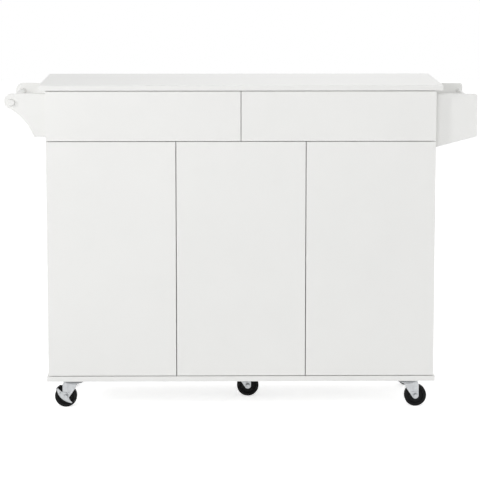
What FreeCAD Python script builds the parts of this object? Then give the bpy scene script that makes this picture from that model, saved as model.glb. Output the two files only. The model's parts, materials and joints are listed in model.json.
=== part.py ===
import FreeCAD, Part
import math
import os
import re
import Sketcher

# A kitchen island on five casters: three doors, two drawers, a drop leaf hinged to the
# rear edge of the worktop, a towel rack on its left side and a spice rack on its right.
# All sizes are in millimetres and degrees.
#
# Frame: X runs to the right along the front, Y runs from the front to the back, Z up.
# The origin lies on the floor under the middle of the whole island, leaf hanging.

SIZES = {
    # carcass
    "top_height": 930,
    "body_width": 1095,
    "base_depth": 425,
    "base_thick": 15,
    "base_overhang": 4.5,
    "side_thick": 15,
    "divider_thick": 15,
    "deck_thick": 15,
    "partition_thick": 15,
    "back_thick": 4,
    "back_groove": 7,
    "back_clearance": 0.5,
    "rail_thick": 15,
    # worktop
    "worktop_thick": 15,
    "worktop_side_overhang": 18,
    "worktop_front_overhang": 8,
    "worktop_rear_overhang": 17,
    # shelves and their pins
    "shelf_thick": 15,
    "shelf_rise": 325,
    "shelf_front_inset": 12,
    "shelf_clearance": 1,
    "pin_radius": 2.5,
    "pin_depth": 7,
    "pin_reach": 8,
    "pin_inset": 55,
    "pin_fit": 0.02,
    # doors and drawer fronts
    "front_thick": 15,
    "front_standoff": 3,
    "door_gap": 2.2,
    "door_bottom_gap": 2,
    "door_top_gap": 0.5,
    "drawer_front_height": 140,
    "drawer_gap": 2,
    "drawer_top_gap": 2,
    "drawer_bottom_gap": 1.5,
    # concealed door hinges
    "hinge_end_inset": 90,
    "hinge_pin_inset": 7,
    "hinge_pin_depth": 9.8,
    "hinge_pin_radius": 1,
    "hinge_pin_half": 9.8,
    "hinge_fit": 0.05,
    "cup_edge": 3,
    "cup_radius": 17.5,
    "cup_wall": 0.8,
    "cup_depth": 12.8,
    "flange_thick": 1,
    "flange_width": 24,
    "flange_height": 56,
    "eye_radius": 2,
    "arm_height": 8,
    "arm_thick": 2.5,
    "arm_web": 2,
    "arm_length": 55,
    "plate_gap": 5,
    "plate_length": 32,
    "plate_height": 44,
    "plate_setback": 8,
    # drawers and their runners
    "drawer_wall": 12,
    "drawer_height": 100,
    "drawer_lift": 12,
    "drawer_rear_clearance": 21,
    "drawer_bottom_thick": 4,
    "bottom_groove": 5,
    "bottom_rise": 10,
    "bottom_clearance": 0.5,
    "runner_space": 12.7,
    "runner_metal": 1.2,
    "runner_height": 45,
    "runner_flange": 11.3,
    "runner_fit": 0.3,
    "runner_setback": 2,
    "runner_shortfall": 20,
    # drop leaf, its hinges and its folding stays
    "leaf_thick": 15,
    "leaf_drop": 305,
    "leaf_gap": 1,
    "knuckle_radius": 3,
    "leaf_pin_radius": 1.5,
    "leaf_pin_fit": 0.05,
    "leaf_hinge_spread": 440,
    "leaf_hinge_length": 60,
    "leaf_wing_thick": 1.5,
    "leaf_wing_clearance": 1.5,
    "knuckle_clearance": 0.4,
    "stay_spread": 250,
    "stay_hinge_drop": 107,
    "stay_eye_radius": 4.5,
    "stay_width": 16,
    "stay_bar_thick": 6,
    "stay_pin_radius": 2.5,
    "stay_pin_fit": 0.05,
    "stay_cheek": 2,
    "stay_side_gap": 0.6,
    "stay_plate_height": 70,
    "stay_plate_flange": 12,
    "stay_rest_thick": 5,
    "stay_rest_width": 40,
    "stay_rest_length": 36,
    "stay_rest_gap": 0.8,
    "stay_leaf_clearance": 1,
    # towel rack on the left side
    "side_reach": 117,
    "rack_thick": 15,
    "rack_front_inset": 22.5,
    "ear_top_drop": 10,
    "ear_height": 122,
    "ear_head_radius": 21,
    "ear_foot": 34.5,
    "ear_sweep_radius": 155,
    "bar_radius": 9.5,
    "bar_drop": 25,
    "bar_end": 8,
    "bar_fit": 0.05,
    # spice rack on the right side
    "spice_top_drop": 12,
    "spice_outer_height": 120,
    "spice_slant": 31,
    "spice_corner": 7,
    "spice_shelf_thick": 12,
    "spice_shelf_rise": 3,
    "spice_shelf_inset": 4,
    "spice_rail_radius": 5.5,
    "spice_rail_inset": 13,
    "spice_rail_drop": 21,
    "spice_rail_seat": 8,
    # casters
    "caster_height": 86,
    "caster_inset_x": 72,
    "caster_inset_y": 69.5,
    "mount_plate_side": 60,
    "mount_plate_thick": 2.5,
    "mount_hole_spread": 23,
    "screw_radius": 2.2,
    "screw_fit": 0.05,
    "screw_bite": 12,
    "screw_head_radius": 4.5,
    "screw_head_thick": 2.5,
    "race_radius": 22,
    "race_height": 5.2,
    "race_gap": 0.3,
    "crown_radius": 28,
    "crown_thick": 4,
    "crown_cone_height": 7,
    "crown_cone_radius": 17,
    "kingpin_radius": 5,
    "kingpin_fit": 0.05,
    "kingpin_head_radius": 8,
    "kingpin_head_thick": 2,
    "kingpin_head_gap": 0.2,
    "wheel_radius": 31.75,
    "wheel_width": 25,
    "tread_round": 4,
    "wheel_hub_radius": 10,
    "wheel_rim_depth": 9,
    "wheel_dish": 4,
    "wheel_side_gap": 1.5,
    "trail": 22.5,
    "cheek_thick": 2.2,
    "cheek_lead": 8,
    "cheek_lead_drop": 14,
    "axle_hub_radius": 9.2,
    "axle_radius": 4,
    "axle_fit": 0.05,
    "axle_head_radius": 6.5,
    "axle_head_thick": 4.5,
    # brake pedals
    "pedal_thick": 2,
    "pedal_gap": 0.25,
    "pedal_width": 19,
    "pedal_reach": 37,
    "pedal_heel": 29,
    "pedal_end_width": 9,
    "pedal_pad_clearance": 1.5,
    "pedal_lean": 45,
}

# Places and lengths that follow from the sizes, each written once as a formula.
PLACES = {
    "carcass_top": "top_height - worktop_thick",
    "base_top": "caster_height + base_thick",
    "leaf_offset": "leaf_gap / 2 + knuckle_radius",
    "worktop_depth": "worktop_front_overhang + base_depth + worktop_rear_overhang",
    "overall_depth": "worktop_depth + leaf_offset + leaf_thick",
    "worktop_front_y": "-overall_depth / 2",
    "front_y": "worktop_front_y + worktop_front_overhang",
    "fronts_back_y": "front_y + front_thick",
    "carcass_front_y": "fronts_back_y + front_standoff",
    "carcass_back_y": "front_y + base_depth",
    "back_panel_y": "carcass_back_y - back_thick",
    "carcass_depth": "back_panel_y - carcass_front_y",
    "rail_front_y": "back_panel_y - rail_thick",
    "leaf_hinge_y": "carcass_back_y + worktop_rear_overhang + leaf_gap / 2",
    "leaf_hinge_z": "carcass_top - knuckle_radius",
    "leaf_inner_y": "leaf_hinge_y + knuckle_radius",
    "side_x": "body_width / 2",
    "inside_x": "side_x - side_thick",
    "door_width": "(body_width - 2 * door_gap) / 3",
    "drawer_front_z": "carcass_top - drawer_top_gap - drawer_front_height",
    "deck_top": "drawer_front_z - drawer_bottom_gap",
    "deck_bottom": "deck_top - deck_thick",
    "door_z": "base_top + door_bottom_gap",
    "door_height": "deck_top - door_top_gap - door_z",
    "shelf_z": "base_top + shelf_rise",
    "bay_width": "inside_x - partition_thick / 2",
    "drawer_front_width": "(body_width - drawer_gap) / 2",
    "drawer_outer": "bay_width - 2 * runner_space",
    "drawer_inner": "drawer_outer - 2 * drawer_wall",
    "drawer_length": "rail_front_y - drawer_rear_clearance - fronts_back_y",
    "drawer_z": "deck_top + drawer_lift",
    "runner_length": "drawer_length - runner_shortfall",
    "runner_z": "drawer_z + (drawer_height - runner_height) / 2",
    "rack_front_y": "front_y + rack_front_inset",
    "rack_rear_y": "carcass_back_y - rack_thick",
    "ear_top": "top_height - worktop_thick - ear_top_drop",
    "bar_x": "-(side_x + side_reach - ear_head_radius)",
    "bar_z": "ear_top - bar_drop",
    "spice_top": "top_height - worktop_thick - spice_top_drop",
    "plate_bottom": "caster_height - mount_plate_thick",
    "crown_top": "plate_bottom - race_height - race_gap",
    "crown_bottom": "crown_top - crown_thick",
    "slot_top": "crown_bottom - crown_cone_height",
    "fork_width": "wheel_width + 2 * wheel_side_gap + 2 * cheek_thick",
    "slot_width": "wheel_width + 2 * wheel_side_gap",
    "stay_y": "leaf_inner_y - stay_rest_thick - stay_leaf_clearance - stay_eye_radius",
    "stay_z": "leaf_hinge_z - stay_hinge_drop",
    "stay_rest_z": "leaf_hinge_z + knuckle_radius - stay_rest_thick",
    "stay_tip_rise": "stay_rest_z - stay_rest_gap - stay_eye_radius - stay_z",
    "stay_length": "stay_tip_rise * sqrt(2)",
}

ORIGIN_TURNS = {
    "X": FreeCAD.Rotation(FreeCAD.Vector(0, 1, 0), 90),
    "Y": FreeCAD.Rotation(FreeCAD.Vector(1, 0, 0), -90),
    "Z": FreeCAD.Rotation(),
}

doc = FreeCAD.newDocument("KitchenIsland")
sheet = doc.addObject("Spreadsheet::Sheet", "Sizes")
for row, (alias, value) in enumerate(SIZES.items(), start=1):
    sheet.set(f"A{row}", str(value))
    sheet.setAlias(f"A{row}", alias)
doc.recompute()

NODES = []


# ---------------------------------------------------------------- formulas


def formula(text):
    """Turn names of sizes and places into an expression on the sheet's cells."""

    def swap(match):
        word = match.group(0)
        if word in PLACES:
            return "(" + formula(PLACES[word]) + ")"
        if word in SIZES:
            return "Sizes." + word
        return word

    return re.sub(r"[a-z][a-z_]*", swap, str(text))


def number(text):
    """The value of a formula now, for the first drawing of a sketch."""
    return float(sheet.evalExpression(formula(text)))


def bind(thing, **settings):
    """Bind each named property of a thing to its formula."""
    for name, text in settings.items():
        thing.setExpression(name, formula(text))


def place(thing, x, y, z):
    """Bind a thing's position to three formulas, leaving how it is turned alone."""
    for axis, text in zip("xyz", (x, y, z)):
        thing.setExpression("Placement.Base." + axis, formula(text))
    return thing


def span(side, edge, near, far):
    """Low end and length, along X, of a stretch that starts at an edge and runs to one side.

    side is 1 when the stretch runs towards +X from the edge and -1 when it runs towards -X.
    """
    length = f"(({far}) - ({near}))"
    if side > 0:
        return f"({edge}) + ({near})", length
    return f"({edge}) - ({far})", length


# ---------------------------------------------------------------- solids


def block(name, x, y, z, length, width, height):
    thing = doc.addObject("Part::Box", name)
    bind(thing, Length=length, Width=width, Height=height)
    return place(thing, x, y, z)


def rod(name, axis, x, y, z, radius, length):
    """A cylinder that starts at a point and runs along +axis."""
    thing = doc.addObject("Part::Cylinder", name)
    thing.Placement = FreeCAD.Placement(FreeCAD.Vector(), ORIGIN_TURNS[axis])
    bind(thing, Radius=radius, Height=length)
    return place(thing, x, y, z)


def hexagon(name, x, y, z, radius, length):
    """A six-sided bolt head or nut that starts at a point and runs along +Y."""
    thing = doc.addObject("Part::Prism", name)
    thing.Polygon = 6
    thing.Placement = FreeCAD.Placement(FreeCAD.Vector(), ORIGIN_TURNS["Y"])
    bind(thing, Circumradius=radius, Height=length)
    return place(thing, x, y, z)


def joined(name, pieces):
    thing = doc.addObject("Part::MultiFuse", name)
    thing.Shapes = pieces
    return thing


def trimmed(name, base, tool):
    thing = doc.addObject("Part::Cut", name)
    thing.Base = base
    thing.Tool = tool
    return thing


def grouped(name, pieces):
    """Several separate solids of one kind, kept under one name."""
    thing = doc.addObject("Part::Compound", name)
    thing.Links = pieces
    return thing


def node(name, thing):
    """Give a finished sub-part the name that it is written under."""
    thing.Label = name
    NODES.append(thing)
    return thing


# ---------------------------------------------------------------- bodies


def new_body(name):
    return doc.addObject("PartDesign::Body", name)


def new_sketch(body, role, offset="0"):
    """An empty sketch on one of the body's own origin planes, moved along its normal."""
    sketch = body.newObject("Sketcher::SketchObject", "Outline")
    flat = [face for face in body.Origin.OriginFeatures if face.Role == role][0]
    sketch.AttachmentSupport = (flat, [""])
    sketch.MapMode = "FlatFace"
    sketch.setExpression("AttachmentOffset.Base.z", formula(offset))
    return sketch


def fix(sketch, kind, *where, size):
    """Add one dimension to a sketch and bind it to a formula."""
    index = sketch.addConstraint(Sketcher.Constraint(kind, *where, number(size)))
    sketch.setExpression(f"Constraints[{index}]", formula(size))


def draw_polygon(sketch, corners):
    """Draw a closed outline of straight lines, each corner held by its two formulas."""
    points = [FreeCAD.Vector(number(across), number(along), 0) for across, along in corners]
    count = len(points)
    for index in range(count):
        sketch.addGeometry(Part.LineSegment(points[index], points[(index + 1) % count]), False)
    for index in range(count):
        sketch.addConstraint(Sketcher.Constraint("Coincident", index, 2, (index + 1) % count, 1))
    for index, (across, along) in enumerate(corners):
        fix(sketch, "DistanceX", -1, 1, index, 1, size=across)
        fix(sketch, "DistanceY", -1, 1, index, 1, size=along)


def draw_circles(sketch, centres, radius):
    for index, (across, along) in enumerate(centres):
        centre = FreeCAD.Vector(number(across), number(along), 0)
        sketch.addGeometry(Part.Circle(centre, FreeCAD.Vector(0, 0, 1), number(radius)), False)
        fix(sketch, "Radius", index, size=radius)
        fix(sketch, "DistanceX", -1, 1, index, 3, size=across)
        fix(sketch, "DistanceY", -1, 1, index, 3, size=along)


def pad(body, sketch, length):
    """Pad a sketch along its own normal."""
    feature = body.newObject("PartDesign::Pad", "Pad")
    feature.Profile = sketch
    bind(feature, Length=length)
    return feature


def drill(body, role, offset, centres, radius, depth, forward=False):
    """Drill a set of equal round holes from a plane, against its normal or along it."""
    sketch = new_sketch(body, role, offset)
    draw_circles(sketch, centres, radius)
    feature = body.newObject("PartDesign::Pocket", "Holes")
    feature.Profile = sketch
    feature.Reversed = forward
    bind(feature, Length=depth)
    return feature


def notch(body, x, y, z, length, width, height):
    feature = body.newObject("PartDesign::SubtractiveBox", "Notch")
    bind(feature, Length=length, Width=width, Height=height)
    return place(feature, x, y, z)


def bore(body, axis, x, y, z, radius, length):
    feature = body.newObject("PartDesign::SubtractiveCylinder", "Bore")
    feature.Placement = FreeCAD.Placement(FreeCAD.Vector(), ORIGIN_TURNS[axis])
    bind(feature, Radius=radius, Height=length)
    return place(feature, x, y, z)


def boss(body, axis, x, y, z, radius, length):
    feature = body.newObject("PartDesign::AdditiveCylinder", "Boss")
    feature.Placement = FreeCAD.Placement(FreeCAD.Vector(), ORIGIN_TURNS[axis])
    bind(feature, Radius=radius, Height=length)
    return place(feature, x, y, z)


def round_edges(body, radius, wanted):
    """Fillet the edges of a body's last feature that pass a test."""
    doc.recompute()
    base = body.Tip
    edges = enumerate(base.Shape.Edges, start=1)
    names = [f"Edge{index}" for index, edge in edges if wanted(edge)]
    feature = body.newObject("PartDesign::Fillet", "Fillet")
    feature.Base = (base, names)
    bind(feature, Radius=radius)
    return feature


def board(name, x, y, z, length, width, height):
    """A flat rectangular board, drawn from above and padded up."""
    body = new_body(name)
    sketch = new_sketch(body, "XY_Plane")
    draw_polygon(sketch, [("0", "0"), (length, "0"), (length, width), ("0", width)])
    pad(body, sketch, height)
    return place(body, x, y, z)


# ---------------------------------------------------------------- carcass


CASTERS = {
    "front_left": ("-(side_x + base_overhang - caster_inset_x)", "front_y + caster_inset_y", -1),
    "front_right": ("side_x + base_overhang - caster_inset_x", "front_y + caster_inset_y", 1),
    "middle": ("0", "front_y + base_depth / 2", 1),
    "rear_left": ("-(side_x + base_overhang - caster_inset_x)", "carcass_back_y - caster_inset_y", -1),
    "rear_right": ("side_x + base_overhang - caster_inset_x", "carcass_back_y - caster_inset_y", 1),
}
BRAKED = ("front_left", "rear_right")


def screw_centres(x, y):
    """The four screw places of one caster's mounting plate."""
    return [
        (f"{x} + {across} * mount_hole_spread", f"{y} + {along} * mount_hole_spread")
        for across in (-1, 1)
        for along in (-1, 1)
    ]


def base_panel():
    width = "body_width + 2 * base_overhang"
    body = board("base_panel", f"-({width}) / 2", "front_y", "caster_height",
                 width, "base_depth", "base_thick")
    centres = []
    for x, y, _ in CASTERS.values():
        centres += screw_centres(f"{x} + ({width}) / 2", f"{y} - front_y")
    drill(body, "XY_Plane", "0", centres, "screw_radius + screw_fit", "screw_bite", forward=True)
    node("base_panel", body)


def pin_centres(offset_y):
    """Where the two shelf pins of one end of a shelf stand, as (y, z), on a board's side."""
    height = "shelf_z - pin_radius - base_top"
    return [
        ("carcass_front_y + pin_inset - " + offset_y, height),
        ("back_panel_y - pin_inset - " + offset_y, height),
    ]


def side_panel(name, side):
    """A side of the carcass, with a groove at its inner rear corner for the back panel."""
    body = new_body(name)
    sketch = new_sketch(body, "XY_Plane")
    outer = f"{side} * side_x"
    inner = f"{side} * inside_x"
    groove = f"{side} * (inside_x + back_groove)"
    corners = [
        (outer, "carcass_front_y"),
        (inner, "carcass_front_y"),
        (inner, "back_panel_y"),
        (groove, "back_panel_y"),
        (groove, "carcass_back_y"),
        (outer, "carcass_back_y"),
    ]
    draw_polygon(sketch, corners)
    pad(body, sketch, "carcass_top - base_top")
    drill(body, "YZ_Plane", inner, pin_centres("0"), "pin_radius + pin_fit", "pin_depth",
          forward=side > 0)
    place(body, "0", "0", "base_top")
    node(name, body)


def divider(name, side):
    """An upright between two compartments, its outer face in line with the middle door's edge."""
    near = f"{side} * (door_width / 2 - divider_thick)"
    x, length = span(side, near, "0", "divider_thick")
    body = board(name, x, "carcass_front_y", "base_top", length, "carcass_depth", "deck_bottom - base_top")
    holes = pin_centres("carcass_front_y")
    drill(body, "YZ_Plane", "0", holes, "pin_radius + pin_fit", "pin_depth", forward=True)
    drill(body, "YZ_Plane", "divider_thick", holes, "pin_radius + pin_fit", "pin_depth")
    node(name, body)


def carcass():
    base_panel()
    side_panel("left_side_panel", -1)
    side_panel("right_side_panel", 1)
    divider("left_divider", -1)
    divider("right_divider", 1)
    deck = board("drawer_deck", "-inside_x", "carcass_front_y", "deck_bottom",
                 "2 * inside_x", "carcass_depth", "deck_thick")
    node("drawer_deck", deck)
    partition = board("drawer_partition", "-partition_thick / 2", "carcass_front_y", "deck_top",
                      "partition_thick", "rail_front_y - carcass_front_y", "carcass_top - deck_top")
    node("drawer_partition", partition)
    rail = board("back_rail", "-inside_x", "rail_front_y", "deck_top",
                 "2 * inside_x", "rail_thick", "carcass_top - deck_top")
    node("back_rail", rail)
    half = "(inside_x + back_groove - back_clearance)"
    back = board("back_panel", f"-{half}", "back_panel_y", "base_top",
                 f"2 * {half}", "back_thick", "carcass_top - base_top")
    node("back_panel", back)
    top_width = "body_width + 2 * worktop_side_overhang"
    top = board("worktop", f"-({top_width}) / 2", "worktop_front_y", "carcass_top",
                top_width, "worktop_depth", "worktop_thick")
    node("worktop", top)


# ---------------------------------------------------------------- shelves


SHELF_BAYS = {
    "left_shelf": ("-inside_x", "-door_width / 2"),
    "centre_shelf": ("-(door_width / 2 - divider_thick)", "door_width / 2 - divider_thick"),
    "right_shelf": ("door_width / 2", "inside_x"),
}


def shelves():
    for name, (left, right) in SHELF_BAYS.items():
        width = f"({right}) - ({left}) - 2 * shelf_clearance"
        depth = "carcass_depth - shelf_front_inset - shelf_clearance"
        shelf = board(name, f"{left} + shelf_clearance", "carcass_front_y + shelf_front_inset",
                      "shelf_z", width, depth, "shelf_thick")
        node(name, shelf)


def shelf_pins():
    """Four round pins under each shelf, half of each in the board and half under the shelf."""
    pins = []
    for left, right in SHELF_BAYS.values():
        for edge, side in ((left, 1), (right, -1)):
            x, length = span(side, edge, "-pin_depth", "pin_reach")
            for y, z in pin_centres("0"):
                pins.append(rod("Pin", "X", x, y, f"base_top + {z}", "pin_radius", length))
    node("shelf_pins", grouped("ShelfPins", pins))


# ---------------------------------------------------------------- drop leaf


LEAF_HINGES = ("-leaf_hinge_spread", "0", "leaf_hinge_spread")
STAYS = {"left": "-stay_spread", "right": "stay_spread"}


def leaf_board():
    width = "body_width + 2 * worktop_side_overhang"
    leaf = board("drop_leaf", f"-({width}) / 2", "leaf_inner_y",
                 "leaf_hinge_z - leaf_gap / 2 - leaf_drop", width, "leaf_thick", "leaf_drop")
    node("drop_leaf", leaf)


def hinge_half(x, knuckles, hanging):
    """One plate of a leaf hinge with its knuckles, lying under the worktop or hanging on the leaf.

    knuckles lists the thirds of the hinge's length that this plate's knuckles take.
    """
    start = f"{x} - leaf_hinge_length / 2"
    third = "leaf_hinge_length / 3"
    wing = "(worktop_rear_overhang + leaf_gap / 2 - leaf_wing_clearance)"
    clear = "(knuckle_radius + knuckle_clearance)"
    skin = "(knuckle_radius - leaf_wing_thick)"
    if hanging:
        plate = block("Wing", start, f"leaf_hinge_y + {skin}", f"leaf_hinge_z - {wing}",
                      "leaf_hinge_length", "leaf_wing_thick", f"{wing} - {clear}")
    else:
        plate = block("Wing", start, f"leaf_hinge_y - {wing}", f"leaf_hinge_z + {skin}",
                      "leaf_hinge_length", f"{wing} - {clear}", "leaf_wing_thick")
    pieces = [plate]
    for index in knuckles:
        low = f"{start} + {index} * {third} + knuckle_clearance / 2"
        length = f"{third} - knuckle_clearance"
        if hanging:
            strap = block("Strap", low, f"leaf_hinge_y + {skin}", f"leaf_hinge_z - {wing} / 2",
                          length, "leaf_wing_thick", f"{wing} / 2")
        else:
            strap = block("Strap", low, f"leaf_hinge_y - {wing} / 2", f"leaf_hinge_z + {skin}",
                          length, f"{wing} / 2", "leaf_wing_thick")
        knuckle = rod("Knuckle", "X", low, "leaf_hinge_y", "leaf_hinge_z", "knuckle_radius", length)
        pieces += [strap, knuckle]
    hole = rod("PinHole", "X", start, "leaf_hinge_y", "leaf_hinge_z",
               "leaf_pin_radius + leaf_pin_fit", "leaf_hinge_length")
    return trimmed("HingeHalf", joined("HingeForm", pieces), hole)


def leaf_hinges():
    plates = [hinge_half(x, (0, 2), hanging=False) for x in LEAF_HINGES]
    node("leaf_hinge_plates", grouped("LeafPlates", plates))
    flaps = [hinge_half(x, (1,), hanging=True) for x in LEAF_HINGES]
    node("leaf_hinge_flaps", grouped("LeafFlaps", flaps))
    pins = [
        rod("LeafPin", "X", f"{x} - leaf_hinge_length / 2", "leaf_hinge_y", "leaf_hinge_z",
            "leaf_pin_radius", "leaf_hinge_length")
        for x in LEAF_HINGES
    ]
    node("leaf_hinge_pins", grouped("LeafPins", pins))


def stay_bracket(x):
    """A pressed bracket on the island's back: a plate and two cheeks that hold the stay's pin."""
    inner = "(stay_width / 2 + stay_side_gap)"
    half = f"({inner} + stay_cheek + stay_plate_flange)"
    low = "stay_z - stay_plate_height / 2"
    plate = block("StayPlate", f"{x} - {half}", "carcass_back_y", low,
                  f"2 * {half}", "stay_cheek", "stay_plate_height")
    pieces = [plate]
    for edge in (f"{x} - {inner} - stay_cheek", f"{x} + {inner}"):
        pieces.append(block("Cheek", edge, "carcass_back_y", "stay_z - stay_eye_radius",
                            "stay_cheek", "stay_y - carcass_back_y", "2 * stay_eye_radius"))
        pieces.append(rod("CheekEnd", "X", edge, "stay_y", "stay_z",
                          "stay_eye_radius", "stay_cheek"))
    hole = rod("CheekHole", "X", f"{x} - {half}", "stay_y", "stay_z",
               "stay_pin_radius + stay_pin_fit", f"2 * {half}")
    return trimmed("StayBracket", joined("BracketForm", pieces), hole)


def stay_strut(name, x):
    """A flat bar with a rounded eye at its pin and a rounded tip, hanging straight down."""
    low = f"{x} - stay_width / 2"
    bar = block("StayBar", low, "stay_y - stay_bar_thick / 2", "stay_z - stay_length",
                "stay_width", "stay_bar_thick", "stay_length")
    eye = rod("StayEye", "X", low, "stay_y", "stay_z", "stay_eye_radius", "stay_width")
    tip = rod("StayTip", "X", low, "stay_y", "stay_z - stay_length",
              "stay_eye_radius", "stay_width")
    hole = rod("StayHole", "X", low, "stay_y", "stay_z",
               "stay_pin_radius + stay_pin_fit", "stay_width")
    node(name, trimmed(name, joined("StayForm", [bar, eye, tip]), hole))


def leaf_stays():
    half = "(stay_width / 2 + stay_side_gap + stay_cheek)"
    brackets = [stay_bracket(x) for x in STAYS.values()]
    pins = [rod("StayPin", "X", f"{x} - {half}", "stay_y", "stay_z", "stay_pin_radius", f"2 * {half}")
            for x in STAYS.values()]
    node("stay_brackets", grouped("StayBrackets", brackets + pins))
    for name, x in STAYS.items():
        stay_strut(name + "_stay_strut", x)
    rest_middle = "leaf_hinge_z - (stay_y + stay_tip_rise - leaf_hinge_y)"
    rests = [
        block("StayRest", f"{x} - stay_rest_width / 2", "leaf_inner_y - stay_rest_thick",
              f"{rest_middle} - stay_rest_length / 2",
              "stay_rest_width", "stay_rest_thick", "stay_rest_length")
        for x in STAYS.values()
    ]
    node("stay_rests", grouped("StayRests", rests))


# ---------------------------------------------------------------- doors


# Each door: its hinge edge, and 1 where the door runs to +X from that edge, -1 where to -X.
DOORS = {
    "left": ("-side_x", 1),
    "centre": ("-door_width / 2", 1),
    "right": ("side_x", -1),
}
HINGE_HEIGHTS = ("door_z + hinge_end_inset", "door_z + door_height - hinge_end_inset")


def along(side, edge, distance):
    """The X of a point at a distance from a door's hinge edge, towards the door."""
    return f"{edge} + {side} * ({distance})"


def door_board(name, edge, side):
    """A door, with a round blind bore for each hinge cup in its back."""
    x, length = span(side, edge, "0", "door_width")
    body = board(name, x, "front_y", "door_z", length, "front_thick", "door_height")
    cup_x = "cup_edge + cup_radius" if side > 0 else "door_width - cup_edge - cup_radius"
    centres = [(cup_x, f"{height} - door_z") for height in HINGE_HEIGHTS]
    drill(body, "XZ_Plane", "-front_thick", centres, "cup_radius + hinge_fit", "cup_depth",
          forward=True)
    node(name, body)


def hinge_pin(name, edge, side, height, radius, half):
    return rod(name, "Z", along(side, edge, "hinge_pin_inset"), "fronts_back_y - hinge_pin_depth",
               f"{height} - {half}", radius, f"2 * {half}")


def hinge_cup(edge, side, height):
    """A pressed cup with a flange that lies on the door's back, open at the back."""
    x = along(side, edge, "cup_edge + cup_radius")
    floor = "fronts_back_y - cup_depth"
    shell = rod("CupShell", "Y", x, floor, height, "cup_radius", "cup_depth")
    flange = block("CupFlange", f"{x} - flange_width / 2", "fronts_back_y",
                   f"{height} - flange_height / 2", "flange_width", "flange_thick", "flange_height")
    hollow = rod("CupHollow", "Y", x, f"{floor} + cup_wall", height,
                 "cup_radius - cup_wall", "cup_depth - cup_wall + flange_thick")
    pin_hole = hinge_pin("CupPinHole", edge, side, height,
                         "hinge_pin_radius + pin_fit", "hinge_pin_half")
    form = joined("CupForm", [shell, flange])
    return trimmed("Cup", form, joined("CupCuts", [hollow, pin_hole]))


def hinge_arm(edge, side, height):
    """The fixed arm: an eye round the pin, a web across the cup and a leg back into the carcass."""
    pin_y = "(fronts_back_y - hinge_pin_depth)"
    low = f"{height} - arm_height / 2"
    leg_near = "side_thick + plate_gap"
    web_x, web_length = span(side, edge, "hinge_pin_inset", f"{leg_near} + arm_thick")
    leg_x, leg_length = span(side, edge, leg_near, f"{leg_near} + arm_thick")
    eye = rod("ArmEye", "Z", along(side, edge, "hinge_pin_inset"), pin_y, low,
              "eye_radius", "arm_height")
    web = block("ArmWeb", web_x, f"{pin_y} - arm_web / 2", low,
                web_length, "arm_web", "arm_height")
    leg = block("ArmLeg", leg_x, f"{pin_y} - arm_web / 2", low,
                leg_length, "arm_length", "arm_height")
    hole = hinge_pin("ArmHole", edge, side, height,
                     "hinge_pin_radius + hinge_fit", "arm_height")
    return trimmed("Arm", joined("ArmForm", [eye, web, leg]), hole)


def hinge_plate(edge, side, height):
    """The mounting plate screwed to the upright, which the arm's leg lies on."""
    x, length = span(side, edge, "side_thick", "side_thick + plate_gap")
    return block("HingePlate", x, "carcass_front_y + plate_setback", f"{height} - plate_height / 2",
                 length, "plate_length", "plate_height")


def doors():
    arms = []
    plates = []
    for name, (edge, side) in DOORS.items():
        door_board(name + "_door", edge, side)
        cups = [hinge_cup(edge, side, height) for height in HINGE_HEIGHTS]
        pins = [hinge_pin("HingePin", edge, side, height, "hinge_pin_radius", "hinge_pin_half")
                for height in HINGE_HEIGHTS]
        node(name + "_door_hinge_cups", grouped("HingeCups", cups + pins))
        arms += [hinge_arm(edge, side, height) for height in HINGE_HEIGHTS]
        plates += [hinge_plate(edge, side, height) for height in HINGE_HEIGHTS]
    node("door_hinge_arms", grouped("HingeArms", arms))
    node("door_hinge_plates", grouped("HingePlates", plates))


# ---------------------------------------------------------------- drawers


# Each drawer: the low X of its front and the low X of its bay between two uprights.
DRAWERS = {
    "left": ("-side_x", "-inside_x"),
    "right": ("drawer_gap / 2", "partition_thick / 2"),
}


def drawer_front(name, front_x, box_x):
    """A drawer's front board, grooved at the back for the drawer's bottom."""
    body = board(name, front_x, "front_y", "drawer_front_z",
                 "drawer_front_width", "front_thick", "drawer_front_height")
    notch(body, f"{box_x} + drawer_wall - bottom_groove - ({front_x})", "front_thick - bottom_groove",
          "drawer_z + bottom_rise - drawer_front_z",
          "drawer_inner + 2 * bottom_groove", "bottom_groove", "drawer_bottom_thick")
    node(name, body)


def drawer_box(name, box_x):
    """The two sides and the back of a drawer, all grooved for its bottom."""
    pieces = []
    inner_faces = ((box_x, "drawer_wall - bottom_groove"), (f"{box_x} + drawer_outer - drawer_wall", "0"))
    for x, groove_x in inner_faces:
        body = board("DrawerSide", x, "fronts_back_y", "drawer_z",
                     "drawer_wall", "drawer_length", "drawer_height")
        notch(body, groove_x, "0", "bottom_rise",
              "bottom_groove", "drawer_length - drawer_wall + bottom_groove", "drawer_bottom_thick")
        pieces.append(body)
    back = board("DrawerBack", f"{box_x} + drawer_wall", "fronts_back_y + drawer_length - drawer_wall",
                 "drawer_z", "drawer_inner", "drawer_wall", "drawer_height")
    notch(back, "0", "0", "bottom_rise", "drawer_inner", "bottom_groove", "drawer_bottom_thick")
    node(name, grouped("DrawerBox", pieces + [back]))


def drawer_bottom(name, box_x):
    reach = "(bottom_groove - bottom_clearance)"
    bottom = board(name, f"{box_x} + drawer_wall - {reach}", f"fronts_back_y - {reach}",
                   "drawer_z + bottom_rise", f"drawer_inner + 2 * {reach}",
                   f"drawer_length - drawer_wall + 2 * {reach}", "drawer_bottom_thick")
    node(name, bottom)


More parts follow.
